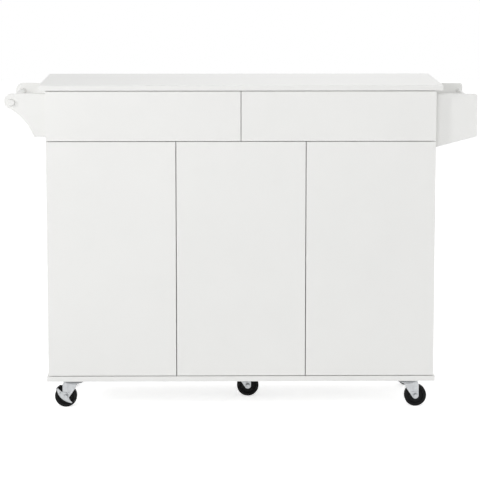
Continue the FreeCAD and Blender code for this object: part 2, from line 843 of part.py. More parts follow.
def runner(web_x, side, height, flange):
    """A U-shaped pressed runner: its web at web_x, its flanges running to one side.

    side is 1 where the flanges run towards +X and -1 where they run towards -X.
    """
    body = new_body("Runner")
    sketch = new_sketch(body, "XZ_Plane", "-runner_length")
    web = f"{side} * runner_metal"
    tip = f"{side} * {flange}"
    upper = f"({height} - runner_metal)"
    corners = [
        ("0", "0"),
        (tip, "0"),
        (tip, "runner_metal"),
        (web, "runner_metal"),
        (web, upper),
        (tip, upper),
        (tip, height),
        ("0", height),
    ]
    draw_polygon(sketch, corners)
    pad(body, sketch, "runner_length")
    return place(body, web_x, "carcass_front_y + runner_setback",
                 f"runner_z + (runner_height - {height}) / 2")


def drawers():
    fixed = []
    for name, (front_x, bay_x) in DRAWERS.items():
        box_x = f"({bay_x} + runner_space)"
        drawer_front(name + "_drawer_front", front_x, box_x)
        drawer_box(name + "_drawer_box", box_x)
        drawer_bottom(name + "_drawer_bottom", box_x)
        moving_height = "(runner_height - 2 * runner_metal - 2 * runner_fit)"
        moving_flange = "(runner_flange - runner_metal)"
        moving = [
            runner(box_x, -1, moving_height, moving_flange),
            runner(f"{box_x} + drawer_outer", 1, moving_height, moving_flange),
        ]
        node(name + "_drawer_runners", grouped("DrawerRunners", moving))
        fixed += [
            runner(bay_x, 1, "runner_height", "runner_flange"),
            runner(f"{bay_x} + bay_width", -1, "runner_height", "runner_flange"),
        ]
    node("cabinet_runners", grouped("CabinetRunners", fixed))


# ---------------------------------------------------------------- racks


def towel_ear(name, y):
    """A bracket board: a flat top, a round head and a hollow sweep down to its narrow foot."""
    body = new_body(name)
    sketch = new_sketch(body, "XZ_Plane", "-rack_thick")
    up = FreeCAD.Vector(0, 0, 1)
    head_r = number("ear_head_radius")
    sweep_r = number("ear_sweep_radius")
    root_top = FreeCAD.Vector(0, 0, 0)
    root_low = FreeCAD.Vector(0, -number("ear_height"), 0)
    toe = FreeCAD.Vector(-number("ear_foot"), -number("ear_height"), 0)
    head = FreeCAD.Vector(head_r - number("side_reach"), -head_r, 0)
    # the sweep's centre lies outside the board, one radius from the toe and
    # one radius and a head's radius from the head's centre
    reach = head - toe
    share = (sweep_r**2 - (sweep_r + head_r) ** 2 + reach.Length**2) / (2 * reach.Length)
    unit = FreeCAD.Vector(reach).normalize()
    outward = FreeCAD.Vector(-unit.y, unit.x, 0)
    sweep = toe + unit * share + outward * math.sqrt(sweep_r**2 - share**2)
    to_toe = toe - sweep
    to_head = head - sweep
    sketch.addGeometry(Part.LineSegment(root_low, toe), False)
    toe_angle = math.atan2(to_toe.y, to_toe.x)
    head_angle = math.atan2(to_head.y, to_head.x)
    hollow = Part.Circle(sweep, up, sweep_r)
    sketch.addGeometry(Part.ArcOfCircle(hollow, toe_angle, head_angle), False)
    end = Part.Circle(head, up, head_r)
    sketch.addGeometry(Part.ArcOfCircle(end, math.pi / 2, head_angle + math.pi), False)
    head_top = head + FreeCAD.Vector(0, head_r, 0)
    sketch.addGeometry(Part.LineSegment(head_top, root_top), False)
    sketch.addGeometry(Part.LineSegment(root_top, root_low), False)
    for rule in (
        ("Coincident", 0, 2, 1, 1),
        ("Tangent", 1, 2, 2, 2),
        ("Tangent", 2, 1, 3, 1),
        ("Coincident", 3, 2, 4, 1),
        ("Coincident", 4, 2, 0, 1),
        ("Coincident", 4, 1, -1, 1),
        ("Horizontal", 0),
        ("Horizontal", 3),
        ("Vertical", 4),
    ):
        sketch.addConstraint(Sketcher.Constraint(*rule))
    fix(sketch, "DistanceY", 4, 2, 4, 1, size="ear_height")
    fix(sketch, "DistanceX", 0, 2, 0, 1, size="ear_foot")
    fix(sketch, "DistanceX", 2, 3, -1, 1, size="side_reach - ear_head_radius")
    fix(sketch, "Radius", 2, size="ear_head_radius")
    fix(sketch, "Radius", 1, size="ear_sweep_radius")
    pad(body, sketch, "rack_thick")
    bore(body, "Y", "ear_head_radius - side_reach", "0", "-bar_drop",
         "bar_radius + bar_fit", "rack_thick")
    place(body, "-side_x", y, "ear_top")
    node(name, body)


def towel_rack():
    towel_ear("towel_ear_front", "rack_front_y")
    towel_ear("towel_ear_rear", "rack_rear_y")
    bar = rod("towel_bar", "Y", "bar_x", "rack_front_y - bar_end", "bar_z",
              "bar_radius", "rack_rear_y + rack_thick - rack_front_y + 2 * bar_end")
    node("towel_bar", bar)


def spice_panel(name, y, seat_y):
    """An end board of the spice rack: square but for a small round corner and a slanted foot."""
    body = new_body(name)
    sketch = new_sketch(body, "XZ_Plane", "-rack_thick")
    corners = [
        ("0", "-(spice_outer_height + spice_slant)"),
        ("side_reach", "-spice_outer_height"),
        ("side_reach", "0"),
        ("0", "0"),
    ]
    draw_polygon(sketch, corners)
    pad(body, sketch, "rack_thick")
    outer = number("side_reach")

    def outer_top(edge):
        middle = edge.CenterOfMass
        return abs(middle.x - outer) < 1e-6 and abs(middle.z) < 1e-6

    round_edges(body, "spice_corner", outer_top)
    bore(body, "Y", "side_reach - spice_rail_inset", seat_y, "-spice_rail_drop",
         "spice_rail_radius + bar_fit", "spice_rail_seat")
    place(body, "side_x", y, "spice_top")
    node(name, body)


def spice_rack():
    spice_panel("spice_front_panel", "rack_front_y", "rack_thick - spice_rail_seat")
    spice_panel("spice_rear_panel", "rack_rear_y", "0")
    inner_y = "(rack_front_y + rack_thick)"
    inner_length = f"(rack_rear_y - {inner_y})"
    shelf = board("spice_shelf", "side_x", inner_y,
                  "spice_top - spice_outer_height + spice_shelf_rise",
                  "side_reach - spice_shelf_inset", inner_length, "spice_shelf_thick")
    node("spice_shelf", shelf)
    rail = rod("spice_rail", "Y", "side_x + side_reach - spice_rail_inset",
               f"{inner_y} - spice_rail_seat", "spice_top - spice_rail_drop",
               "spice_rail_radius", f"{inner_length} + 2 * spice_rail_seat")
    node("spice_rail", rail)


# ---------------------------------------------------------------- casters


def mount_plate(x, y):
    """A caster's square plate with the upper race of its swivel pressed down in the middle."""
    half = "mount_plate_side / 2"
    plate = block("MountPlate", f"{x} - {half}", f"{y} - {half}", "plate_bottom",
                  "mount_plate_side", "mount_plate_side", "mount_plate_thick")
    race = rod("UpperRace", "Z", x, y, "plate_bottom - race_height", "race_radius", "race_height")
    cuts = [
        rod("PlateHole", "Z", hole_x, hole_y, "plate_bottom",
            "screw_radius + screw_fit", "mount_plate_thick")
        for hole_x, hole_y in screw_centres(x, y)
    ]
    cuts.append(rod("KingpinHole", "Z", x, y, "plate_bottom - race_height",
                    "kingpin_radius", "race_height + mount_plate_thick"))
    return trimmed("CasterPlate", joined("PlateForm", [plate, race]), joined("PlateCuts", cuts))


def kingpin(x, y):
    """The rivet that the fork swivels on, with its head under the crown."""
    head_top = "slot_top - kingpin_head_gap"
    shank = rod("KingpinShank", "Z", x, y, head_top,
                "kingpin_radius", f"caster_height - ({head_top})")
    head = rod("KingpinHead", "Z", x, y, f"{head_top} - kingpin_head_thick",
               "kingpin_head_radius", "kingpin_head_thick")
    return joined("Kingpin", [shank, head])


def plate_screw(x, y):
    head = rod("ScrewHead", "Z", x, y, "plate_bottom - screw_head_thick",
               "screw_head_radius", "screw_head_thick")
    shank = rod("ScrewShank", "Z", x, y, "plate_bottom",
                "screw_radius", "mount_plate_thick + screw_bite")
    return joined("Screw", [head, shank])


def fork(x, y, side, braked):
    """A pressed swivel fork: a round crown, a cone and two cheeks, with its axle bolt and nut.

    side is 1 where the wheel trails towards +X and -1 where it trails towards -X.
    """
    body = new_body("Fork")
    sketch = new_sketch(body, "XZ_Plane", "-fork_width / 2")
    rear = "trail + axle_hub_radius"
    corners = [
        ("-cheek_lead", "crown_bottom"),
        (rear, "crown_bottom"),
        (rear, "wheel_radius"),
        ("trail - axle_hub_radius", "wheel_radius"),
        ("-cheek_lead", "crown_bottom - cheek_lead_drop"),
    ]
    draw_polygon(sketch, [(f"{side} * ({across})", height) for across, height in corners])
    pad(body, sketch, "fork_width")
    axle_x = f"{side} * trail"
    boss(body, "Y", axle_x, "-fork_width / 2", "wheel_radius", "axle_hub_radius", "fork_width")
    boss(body, "Z", "0", "0", "crown_bottom", "crown_radius", "crown_thick")
    cone = body.newObject("PartDesign::AdditiveCone", "Cone")
    bind(cone, Radius1="crown_cone_radius", Radius2="crown_radius", Height="crown_cone_height")
    place(cone, "0", "0", "slot_top")
    slot_half = "(crown_radius + trail + axle_hub_radius)"
    slot_low = "(wheel_radius - 2 * axle_hub_radius)"
    notch(body, f"-{slot_half}", "-slot_width / 2", slot_low,
          f"2 * {slot_half}", "slot_width", f"slot_top - {slot_low}")
    bore(body, "Z", "0", "0", "slot_top", "kingpin_radius + kingpin_fit", "crown_top - slot_top")
    bore(body, "Y", axle_x, "-fork_width / 2", "wheel_radius", "axle_radius + axle_fit", "fork_width")
    place(body, x, y, "0")
    head_gap = "(pedal_thick + 2 * pedal_gap)" if braked else "0"
    start = f"{y} - fork_width / 2 - {head_gap}"
    centre_x = f"{x} + {axle_x}"
    length = f"fork_width + {head_gap} + axle_head_thick"
    shank = rod("AxleShank", "Y", centre_x, start, "wheel_radius", "axle_radius", length)
    head = hexagon("AxleHead", centre_x, f"{start} - axle_head_thick", "wheel_radius",
                   "axle_head_radius", "axle_head_thick")
    axle = joined("Axle", [shank, head])
    nut_form = hexagon("NutForm", centre_x, f"{y} + fork_width / 2", "wheel_radius",
                       "axle_head_radius", "axle_head_thick")
    nut_hole = rod("NutHole", "Y", centre_x, f"{y} + fork_width / 2", "wheel_radius",
                   "axle_radius", "axle_head_thick")
    return grouped("ForkGroup", [body, axle, trimmed("Nut", nut_form, nut_hole)])


def wheel(name, x, y, side):
    """A moulded wheel, turned from one profile: hub, dished web and rounded tread."""
    body = new_body(name)
    sketch = new_sketch(body, "XY_Plane")
    bore_r = "axle_radius + axle_fit"
    rim_r = "wheel_radius - wheel_rim_depth"
    hub_half = "(wheel_width / 2 + wheel_side_gap / 2)"
    rim_half = "wheel_width / 2"
    web_half = "(wheel_width / 2 - wheel_dish)"
    half = [
        (bore_r, hub_half),
        ("wheel_hub_radius", hub_half),
        ("wheel_hub_radius", web_half),
        (rim_r, web_half),
        (rim_r, rim_half),
        ("wheel_radius", rim_half),
    ]
    mirrored = [(radius, f"-{height}") for radius, height in reversed(half)]
    draw_polygon(sketch, half + mirrored)
    turn = body.newObject("PartDesign::Revolution", "Turn")
    turn.Profile = sketch
    turn.ReferenceAxis = (sketch, ["V_Axis"])
    turn.Angle = 360
    tread = number("wheel_radius")

    def tread_edge(edge):
        return isinstance(edge.Curve, Part.Circle) and abs(edge.Curve.Radius - tread) < 1e-6

    round_edges(body, "tread_round", tread_edge)
    place(body, f"{x} + {side} * trail", y, "wheel_radius")
    node(name, body)


def brake_pedal(name, x, y, side):
    """A rocker on the axle: a leaf-shaped plate beside the fork and a pad over the tread."""
    body = new_body(name)
    sketch = new_sketch(body, "XZ_Plane")
    # drawn along the rocker: heel below the axle, toe above it
    corners = [
        ("-pedal_heel", "-pedal_end_width / 2"),
        ("0", "-pedal_width / 2"),
        ("pedal_reach", "-pedal_end_width / 2"),
        ("pedal_reach", "pedal_end_width / 2"),
        ("0", "pedal_width / 2"),
        ("-pedal_heel", "pedal_end_width / 2"),
    ]
    draw_polygon(sketch, corners)
    pad(body, sketch, "pedal_thick")
    pad_inner = "wheel_radius + pedal_pad_clearance"
    step = body.newObject("PartDesign::AdditiveBox", "PedalPad")
    bind(step, Length=f"pedal_reach - ({pad_inner})", Width="fork_width / 2 + pedal_gap + pedal_thick",
         Height="pedal_end_width")
    place(step, pad_inner, "-pedal_thick", "-pedal_end_width / 2")
    bore(body, "Y", "0", "-pedal_thick", "0", "axle_radius + axle_fit", "pedal_thick")
    # the toe points up and towards the trailing side: past a quarter turn where that is -X
    lean = f"{side} * (90 - pedal_lean) - 90"
    turn = FreeCAD.Rotation(FreeCAD.Vector(0, 1, 0), number(lean))
    body.Placement = FreeCAD.Placement(FreeCAD.Vector(), turn)
    body.setExpression("Placement.Rotation.Angle", formula(lean))
    place(body, f"{x} + {side} * trail", f"{y} - fork_width / 2 - pedal_gap", "wheel_radius")
    node(name, body)


def casters():
    plates = [mount_plate(x, y) for x, y, _ in CASTERS.values()]
    kingpins = [kingpin(x, y) for x, y, _ in CASTERS.values()]
    node("caster_plates", grouped("CasterPlates", plates + kingpins))
    screws = [plate_screw(*centre) for x, y, _ in CASTERS.values() for centre in screw_centres(x, y)]
    node("caster_screws", grouped("CasterScrews", screws))
    for name, (x, y, side) in CASTERS.items():
        node(name + "_fork", fork(x, y, side, name in BRAKED))
        wheel(name + "_wheel", x, y, side)
        if name in BRAKED:
            brake_pedal(name + "_brake_pedal", x, y, side)


# ---------------------------------------------------------------- build and write


def check_and_write():
    doc.recompute()
    for thing in doc.Objects:
        bad = [state for state in thing.State if state in ("Invalid", "Error")]
        if bad:
            raise RuntimeError(f"{thing.Label} is {bad}")
    os.makedirs("parts", exist_ok=True)
    for thing in NODES:
        shape = thing.Shape
        if shape.isNull() or not shape.isValid() or not shape.Solids:
            raise RuntimeError(f"{thing.Label} has no valid solid")
        shape.exportStep(f"parts/{thing.Label}.step")
    print(len(NODES), "sub-parts written")


carcass()
shelves()
shelf_pins()
leaf_board()
leaf_hinges()
leaf_stays()
doors()
drawers()
towel_rack()
spice_rack()
casters()
check_and_write()
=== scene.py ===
"""The looks of a drop leaf kitchen island on casters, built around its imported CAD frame."""

import json
import math

import bmesh
import bpy
from mathutils import Matrix, Vector

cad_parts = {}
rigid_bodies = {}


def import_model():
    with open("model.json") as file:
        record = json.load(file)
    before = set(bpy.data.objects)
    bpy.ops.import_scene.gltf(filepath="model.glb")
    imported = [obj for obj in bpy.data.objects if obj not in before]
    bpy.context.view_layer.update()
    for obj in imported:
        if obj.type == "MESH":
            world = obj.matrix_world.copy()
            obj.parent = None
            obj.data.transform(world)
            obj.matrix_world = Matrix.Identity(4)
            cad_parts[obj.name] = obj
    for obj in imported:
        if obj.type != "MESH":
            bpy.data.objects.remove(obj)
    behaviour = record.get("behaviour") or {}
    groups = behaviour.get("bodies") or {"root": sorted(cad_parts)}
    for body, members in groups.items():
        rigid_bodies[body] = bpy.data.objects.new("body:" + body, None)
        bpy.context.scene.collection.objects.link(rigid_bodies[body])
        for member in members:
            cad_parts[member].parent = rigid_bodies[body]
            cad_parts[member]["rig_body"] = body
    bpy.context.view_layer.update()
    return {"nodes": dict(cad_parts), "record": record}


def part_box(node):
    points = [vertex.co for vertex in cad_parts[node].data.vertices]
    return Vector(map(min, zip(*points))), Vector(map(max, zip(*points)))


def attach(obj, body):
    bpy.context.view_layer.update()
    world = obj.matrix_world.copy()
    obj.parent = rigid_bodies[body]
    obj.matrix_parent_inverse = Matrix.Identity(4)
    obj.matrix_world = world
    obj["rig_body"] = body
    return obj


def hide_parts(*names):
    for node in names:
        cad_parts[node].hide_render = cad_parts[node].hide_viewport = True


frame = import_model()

bl_info = {
    "name": "Drop Leaf Kitchen Island",
    "version": (1, 0, 0),
    "blender": (4, 5, 0),
    "location": "View3D > Sidebar > Island",
    "description": "Builds the lacquered boards, casters, hinges and stage of a kitchen island",
    "category": "Object",
}

NODES = frame["nodes"]
BODY_OF = {name: node["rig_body"] for name, node in NODES.items()}
SLOT_OF = {part["node"]: part["material_slot"] for part in frame["record"]["subparts"]}
JOINTS = frame["record"]["behaviour"]["joints"]
PIVOTS = {joint["name"]: Vector(joint["pos_m"]) for joint in JOINTS if "pos_m" in joint}
MM = 0.001
HARD_EDGE = 0.5 * MM        # rounding of the edges of nuts, brackets and mounting plates
FINE_EDGE = 0.3 * MM        # rounding of the edges of thin strip: runners, wings and cups
RIGHT, REAR, UP = Vector((1, 0, 0)), Vector((0, 1, 0)), Vector((0, 0, 1))
CASTERS = ("front_left", "front_right", "middle", "rear_left", "rear_right")
BRAKED = ("front_left", "rear_right")
DOORS = ("left", "centre", "right")
DRAWERS = ("left", "right")
WHITE = (1, 1, 1, 1)

SAME_POINT = 1e-6           # points that lie nearer than this, in metres, are one
SAME_PLANE = 0.01           # faces turned by less than this, in radians, lie in one plane
CREASE = math.radians(38)   # edges sharper than this stay sharp in the shading

# ------------------------------------------------------------------ materials


def linear(code):
    """An sRGB hex colour as the linear values that a shader reads."""
    levels = [int(code[place:place + 2], 16) / 255 for place in (0, 2, 4)]
    return tuple(v / 12.92 if v <= 0.04045 else ((v + 0.055) / 1.055) ** 2.4 for v in levels)


def add(material, kind, sockets=None, **settings):
    """Add one node to a material: its settings, then the values or links of its sockets."""
    tree = material.node_tree
    made = tree.nodes.new("ShaderNode" + kind)
    for name, value in settings.items():
        setattr(made, name, value)
    for socket, value in (sockets or {}).items():
        if isinstance(value, bpy.types.NodeSocket):
            tree.links.new(value, made.inputs[socket])
        else:
            made.inputs[socket].default_value = value
    return made


def shade(colour, lighter):
    """A colour made a little lighter or darker, with the alpha that a ramp's stop needs."""
    return (*(min(1.0, channel * lighter) for channel in colour), 1.0)


def coordinates(material, stretch):
    """Object coordinates in metres, stretched where a finish runs one way."""
    place = add(material, "TexCoord").outputs["Object"]
    return add(material, "Mapping", {"Vector": place, "Scale": stretch}).outputs[0]


def finish(name, colour, roughness, spread, tint, patch, grain, relief, depth, metallic=0.0,
           stretch=(1, 1, 1), shine=0.5, cells=False):
    """A procedural finish: patches of tone and gloss over a fine surface relief.

    patch is the size of the patches of tone, grain the size of the relief and depth its height,
    all in metres; spread is how far the roughness varies, and tint the tone. cells gives the
    relief round pebbles instead of clouds.
    """
    made = bpy.data.materials.new(name)
    made.use_nodes = True
    made.diffuse_color = (*colour, 1.0)
    made.node_tree.nodes.clear()
    where = coordinates(made, stretch)
    clouds = add(made, "TexNoise", {"Vector": where, "Scale": 1 / patch, "Detail": 3.0,
                                    "Roughness": 0.55})
    tone = add(made, "ValToRGB", {"Fac": clouds.outputs["Fac"]})
    stops = ((0.3, 1 - tint), (0.7, 1 + tint))
    for stop, (position, lighter) in zip(tone.color_ramp.elements, stops):
        stop.position = position
        stop.color = shade(colour, lighter)
    if cells:
        bumps = add(made, "TexVoronoi", {"Vector": where, "Scale": 1 / grain, "Randomness": 1.0})
        height = bumps.outputs["Distance"]
    else:
        bumps = add(made, "TexNoise", {"Vector": where, "Scale": 1 / grain, "Detail": 2.0})
        height = bumps.outputs["Fac"]
    gloss = add(made, "MapRange", {"Value": height, "To Min": roughness - spread,
                                   "To Max": roughness + spread})
    bump = add(made, "Bump", {"Height": height, "Strength": relief, "Distance": depth})
    shader = add(made, "BsdfPrincipled", {
        "Base Color": tone.outputs["Color"], "Roughness": gloss.outputs["Result"],
        "Normal": bump.outputs["Normal"], "Metallic": metallic, "Specular IOR Level": shine,
    })
    add(made, "OutputMaterial", {"Surface": shader.outputs[0]})
    return made


def finish_for(slot):
    """The material of one of the record's slots, made the first time that it is asked for."""
    look = bpy.context.scene.island_finish
    makers = {
        # fibreboard under sprayed satin lacquer: soft wide highlights, a faint orange peel that
        # is drawn at 4 mm because the real 1.5 mm doesn't show at this distance
        "painted_board": lambda: finish("Satin lacquered MDF", look.lacquer, roughness=look.gloss,
                                        spread=0.04, tint=0.012, patch=0.35, grain=0.004,
                                        relief=0.08, depth=0.00012),
        # the worktop's lacquer is rubbed flatter than the fronts', with a broader, duller highlight
        "worktop_board": lambda: finish("Rubbed satin lacquer", look.worktop, roughness=0.44,
                                        spread=0.05, tint=0.012, patch=0.3, grain=0.006,
                                        relief=0.06, depth=0.0001),
        # thin pressed hardboard with a printed white face: dull, with a woven screen's trace
        "hardboard": lambda: finish("White faced hardboard", look.hardboard, roughness=0.6,
                                    spread=0.08, tint=0.02, patch=0.12, grain=0.0025,
                                    relief=0.2, depth=0.0002, cells=True),
        # melamine paper on chipboard: a fine even pearl texture, dull and hard
        "drawer_board": lambda: finish("White melamine board", look.drawer, roughness=0.48,
                                       spread=0.06, tint=0.015, patch=0.2, grain=0.0015,
                                       relief=0.15, depth=0.00012),
        # the racks' thin boards get the same lacquer, as full on their cut edges as on their faces
        "rack_board": lambda: finish("Satin lacquered rack MDF", look.lacquer, roughness=look.gloss,
                                     spread=0.04, tint=0.012, patch=0.2, grain=0.004,
                                     relief=0.08, depth=0.00012),
        # turned beech under lacquer: the grain runs along the rod and telegraphs through faintly
        "rack_rod": lambda: finish("Lacquered beech dowel", look.lacquer, roughness=0.36,
                                   spread=0.06, tint=0.02, patch=0.02, grain=0.0016,
                                   relief=0.12, depth=0.00015, stretch=(1, 0.05, 1)),
        # bright nickel over rolled steel: fine lines along the strip, a warm grey
        "nickel_hardware": lambda: finish("Nickel plated steel", look.nickel, metallic=1.0,
                                          roughness=0.27, spread=0.08, tint=0.05, patch=0.03,
                                          grain=0.0012, relief=0.12, depth=0.00008,
                                          stretch=(0.08, 1, 1)),
        # baked powder coat: a fine even pebble
        "stay_steel": lambda: finish("White powder coated steel", look.powder, roughness=0.5,
                                     spread=0.06, tint=0.015, patch=0.08, grain=0.0012,
                                     relief=0.3, depth=0.00012, cells=True),
        # injection moulded nylon: a soft dull sheen without a hard highlight
        "stay_pad": lambda: finish("Moulded white nylon", look.powder, roughness=0.55,
                                   spread=0.05, tint=0.02, patch=0.03, grain=0.0009,
                                   relief=0.2, depth=0.0001),
        # zinc over rolled strip: fine lines along the runner, with a cold grey gloss
        "runner_steel": lambda: finish("Zinc plated runner steel", look.zinc, metallic=1.0,
                                       roughness=0.36, spread=0.1, tint=0.06, patch=0.05,
                                       grain=0.0016, relief=0.12, depth=0.00008,
                                       stretch=(1, 0.06, 1)),
        # bright zinc on pressed steel: cloudy patches of gloss from the plating bath
        "caster_steel": lambda: finish("Zinc plated pressed steel", look.zinc, metallic=1.0,
                                       roughness=0.34, spread=0.12, tint=0.09, patch=0.012,
                                       grain=0.0018, relief=0.15, depth=0.0001),
        # moulded black nylon: a spark-eroded mould's fine matt, so it gives back little of the room
        "wheel_plastic": lambda: finish("Moulded black nylon", look.nylon, roughness=0.5,
                                        spread=0.1, tint=0.2, patch=0.012, grain=0.0009,
                                        relief=0.25, depth=0.00012, shine=0.14),
    }
    for material in bpy.data.materials:
        if material.get("island_slot") == slot:
            return material
    made = makers[slot]()
    made["island_slot"] = slot
    return made


# ------------------------------------------------------------------ shapes


def copy_of(node):
    """A CAD node's mesh with its loose triangles merged and its flat faces whole."""
    shape = bmesh.new()
    shape.from_mesh(NODES[node].data)
    bmesh.ops.remove_doubles(shape, verts=shape.verts, dist=SAME_POINT)
    join_flat_faces(shape, 0.5)
    return shape


def join_flat_faces(shape, degrees):
    """Join the faces that lie in one plane, within an angle."""
    bmesh.ops.dissolve_limit(shape, angle_limit=math.radians(degrees),
                             verts=shape.verts, edges=shape.edges)


def round_edges(shape, edges, radius, segments):
    """Round some of a shape's edges, with the same arc on each."""
    bmesh.ops.bevel(shape, geom=edges, offset=radius, offset_type="OFFSET", segments=segments,
                    profile=0.5, affect="EDGES", clamp_overlap=True, material=-1)


def soften(shape, radius, shortest=0.0, sharper=30, segments=3):
    """Round the edges that are longer than a length and sharper than an angle in degrees."""
    round_edges(shape, [
        edge for edge in shape.edges
        if edge.is_manifold
        and edge.calc_length() > shortest
        and edge.calc_face_angle(0) > math.radians(sharper)
    ], radius, segments)
    # where rounded edges run out, the slivers that are left would shade black
    bmesh.ops.dissolve_degenerate(shape, dist=0.005 * MM, edges=shape.edges)


def set_shading(shape):
    """Keep creases sharp, shade curved faces smooth and planes flat."""
    far_larger = 5   # a plane's area, over that of the largest curved face beside it

    def beside(face, least, most):
        return [other for edge in face.edges if least <= edge.calc_face_angle(0) < most
                for other in edge.link_faces if other is not face]

    for edge in shape.edges:
        edge.smooth = edge.calc_face_angle(0) < CREASE
    planes = []
    for face in shape.faces:
        curved = beside(face, SAME_PLANE, CREASE)
        face.smooth = bool(curved)
        if curved and face.calc_area() > far_larger * max(other.calc_area() for other in curved):
            planes.append(face)
    # the smaller faces that lie in the same plane shade flat with it
    for face in planes:
        face.smooth = False
        planes += {other for other in beside(face, 0, SAME_PLANE) if other.smooth}


def face_outwards(shape):
    """Turn every face of a closed shape outwards."""
    bmesh.ops.recalc_face_normals(shape, faces=shape.faces)


def settle(shape, name, like, stands_for=True, slot=None):
    """Make a piece of a finished shape: it rides on a CAD node's body and takes its slot.

    It replaces the node unless stands_for is false.
    """
    set_shading(shape)
    mesh = bpy.data.meshes.new(name)
    shape.to_mesh(mesh)
    shape.free()
    piece = bpy.data.objects.new(name, mesh)
    bpy.context.scene.collection.objects.link(piece)
    slot = slot or SLOT_OF[like]
    mesh.materials.append(finish_for(slot))
    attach(piece, BODY_OF[like])
    if stands_for:
        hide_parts(like)


def dress_boards(nodes, radius, shortest=6 * MM):
    """Replace CAD boards by the same boards with their edges rounded."""
    for node in nodes:
        shape = copy_of(node)
        soften(shape, radius, shortest)
        settle(shape, node + "_board", node)


def dress_metal(nodes, radius, extra=None):
    """Replace CAD metalwork by the same forms with broken edges and any extra detail."""
    for node in nodes:
        shape = copy_of(node)
        soften(shape, radius, 1 * MM, sharper=40, segments=2)
        if extra:
            extra(shape, node)
        settle(shape, node + "_metal", node)


def paint(nodes):
    """Give CAD nodes that stay as they are their finish."""
    for node in nodes:
        for slot in NODES[node].material_slots:
            slot.material = finish_for(SLOT_OF[node])


def facing(direction, centre):
    """The matrix that takes +Z to a direction and the origin to a centre."""
    turn = Vector(direction).to_track_quat("Z", "Y").to_matrix().to_4x4()
    return Matrix.Translation(centre) @ turn


def lathe(profile, direction, centre, steps, closed=False):
    """Turn a profile of (radius, height) points round a direction through a centre.

    closed joins the profile's two ends, for a shape with a hole through it.
    """
    shape = bmesh.new()
    if closed:
        profile = [*profile, profile[0]]
    points = [shape.verts.new((radius, 0, height)) for radius, height in profile]
    edges = [shape.edges.new(pair) for pair in zip(points, points[1:])]
    bmesh.ops.spin(shape, geom=points + edges, cent=(0, 0, 0), axis=(0, 0, 1), dvec=(0, 0, 0),
                   angle=math.tau, steps=steps, use_merge=True, use_duplicate=False)
    bmesh.ops.remove_doubles(shape, verts=shape.verts, dist=SAME_POINT)
    face_outwards(shape)
    bmesh.ops.transform(shape, matrix=facing(direction, centre), verts=shape.verts)
    return shape


def rod_sizes(box):
    """The centre, radius and half length of a rod along Y, from its box."""
    low, high = box
    return (low + high) / 2, (high.x - low.x) / 2, (high.y - low.y) / 2


def merge(shape, other):
    """Add another shape to a shape, as a shell of its own."""
    carrier = bpy.data.meshes.new("carrier")
    other.to_mesh(carrier)
    other.free()
    shape.from_mesh(carrier)
    bpy.data.meshes.remove(carrier)


def screw_head(shape, centre, direction, radius, height):
    """A pan head with a shallow driver recess, standing on a face."""
    top_radius = radius * 0.8
    top_round = height * 0.3
    recess_rim = radius * 0.3
    recess_slope, recess_depth = radius * 0.04, height * 0.4
    head = bmesh.new()
    bmesh.ops.create_cone(head, cap_ends=True, segments=24, depth=height,
                          radius1=radius, radius2=top_radius)

    def top():
        return max(head.faces, key=lambda face: face.calc_center_median().z)

    round_edges(head, list(top().edges), top_round, 2)
    recess = [top()]
    bmesh.ops.inset_region(head, faces=recess, thickness=recess_rim)
    bmesh.ops.inset_region(head, faces=recess, thickness=recess_slope, depth=-recess_depth)
    bmesh.ops.translate(head, verts=head.verts, vec=(0, 0, height / 2))
    bmesh.ops.transform(head, matrix=facing(direction, centre), verts=head.verts)
    merge(shape, head)


def hexagon(shape, centre, direction, radius, height):
    """A six-sided head or nut, standing on a face."""
    nut = bmesh.new()
    bmesh.ops.create_cone(nut, cap_ends=True, segments=6, depth=height,
                          radius1=radius, radius2=radius)
    bmesh.ops.translate(nut, verts=nut.verts, vec=(0, 0, height / 2))
    soften(nut, HARD_EDGE, sharper=40, segments=2)
    bmesh.ops.transform(nut, matrix=facing(direction, centre), verts=nut.verts)
    merge(shape, nut)


def hull_plate(disc, disc_radius, corners, thickness):
    """A flat plate on the XY plane, drawn tight round a disc and some corners."""
    shape = bmesh.new()
    for height in (0, thickness):
        bmesh.ops.create_circle(shape, segments=48, radius=disc_radius,
                                matrix=Matrix.Translation((*disc, height)))
        for corner in corners:
            shape.verts.new((*corner, height))
    hull = bmesh.ops.convex_hull(shape, input=shape.verts)
    bmesh.ops.delete(shape, geom=hull["geom_interior"], context="VERTS")
    join_flat_faces(shape, 1)
    return shape


def cut_plate(outline, thickness, hole, hole_radius):
    """A flat plate on the XY plane, cut to an outline, with one round hole."""
    shape = bmesh.new()
    corners = [shape.verts.new((*corner, 0)) for corner in outline]
    for first, second in zip(corners, corners[1:] + corners[:1]):
        shape.edges.new((first, second))
    bmesh.ops.create_circle(shape, segments=20, radius=hole_radius,
                            matrix=Matrix.Translation((*hole, 0)))
    bmesh.ops.triangle_fill(shape, use_beauty=True, use_dissolve=False, edges=shape.edges)
    raised = bmesh.ops.extrude_face_region(shape, geom=shape.faces)["geom"]
    bmesh.ops.translate(shape, vec=(0, 0, thickness),
                        verts=[part for part in raised if isinstance(part, bmesh.types.BMVert)])
    face_outwards(shape)
    return shape


def score(shape, point, normal):
    """Cut a plate's faces along a plane, without parting them."""
    bmesh.ops.bisect_plane(shape, geom=[*shape.verts, *shape.edges, *shape.faces],
                           dist=SAME_POINT, plane_co=point, plane_no=normal)


def faces_upwards(shape):
    """The faces that look up the Z axis, or nearly."""
    return [face for face in shape.faces if face.normal.z > 0.9]


def press_in(shape, faces, rim, depth):
    """Press a region of faces in, leaving a rim round it."""
    for thickness, drop in ((rim, 0), (depth, -depth)):
        bmesh.ops.inset_region(shape, faces=faces, thickness=thickness, depth=drop,
                               use_even_offset=True, use_boundary=True)


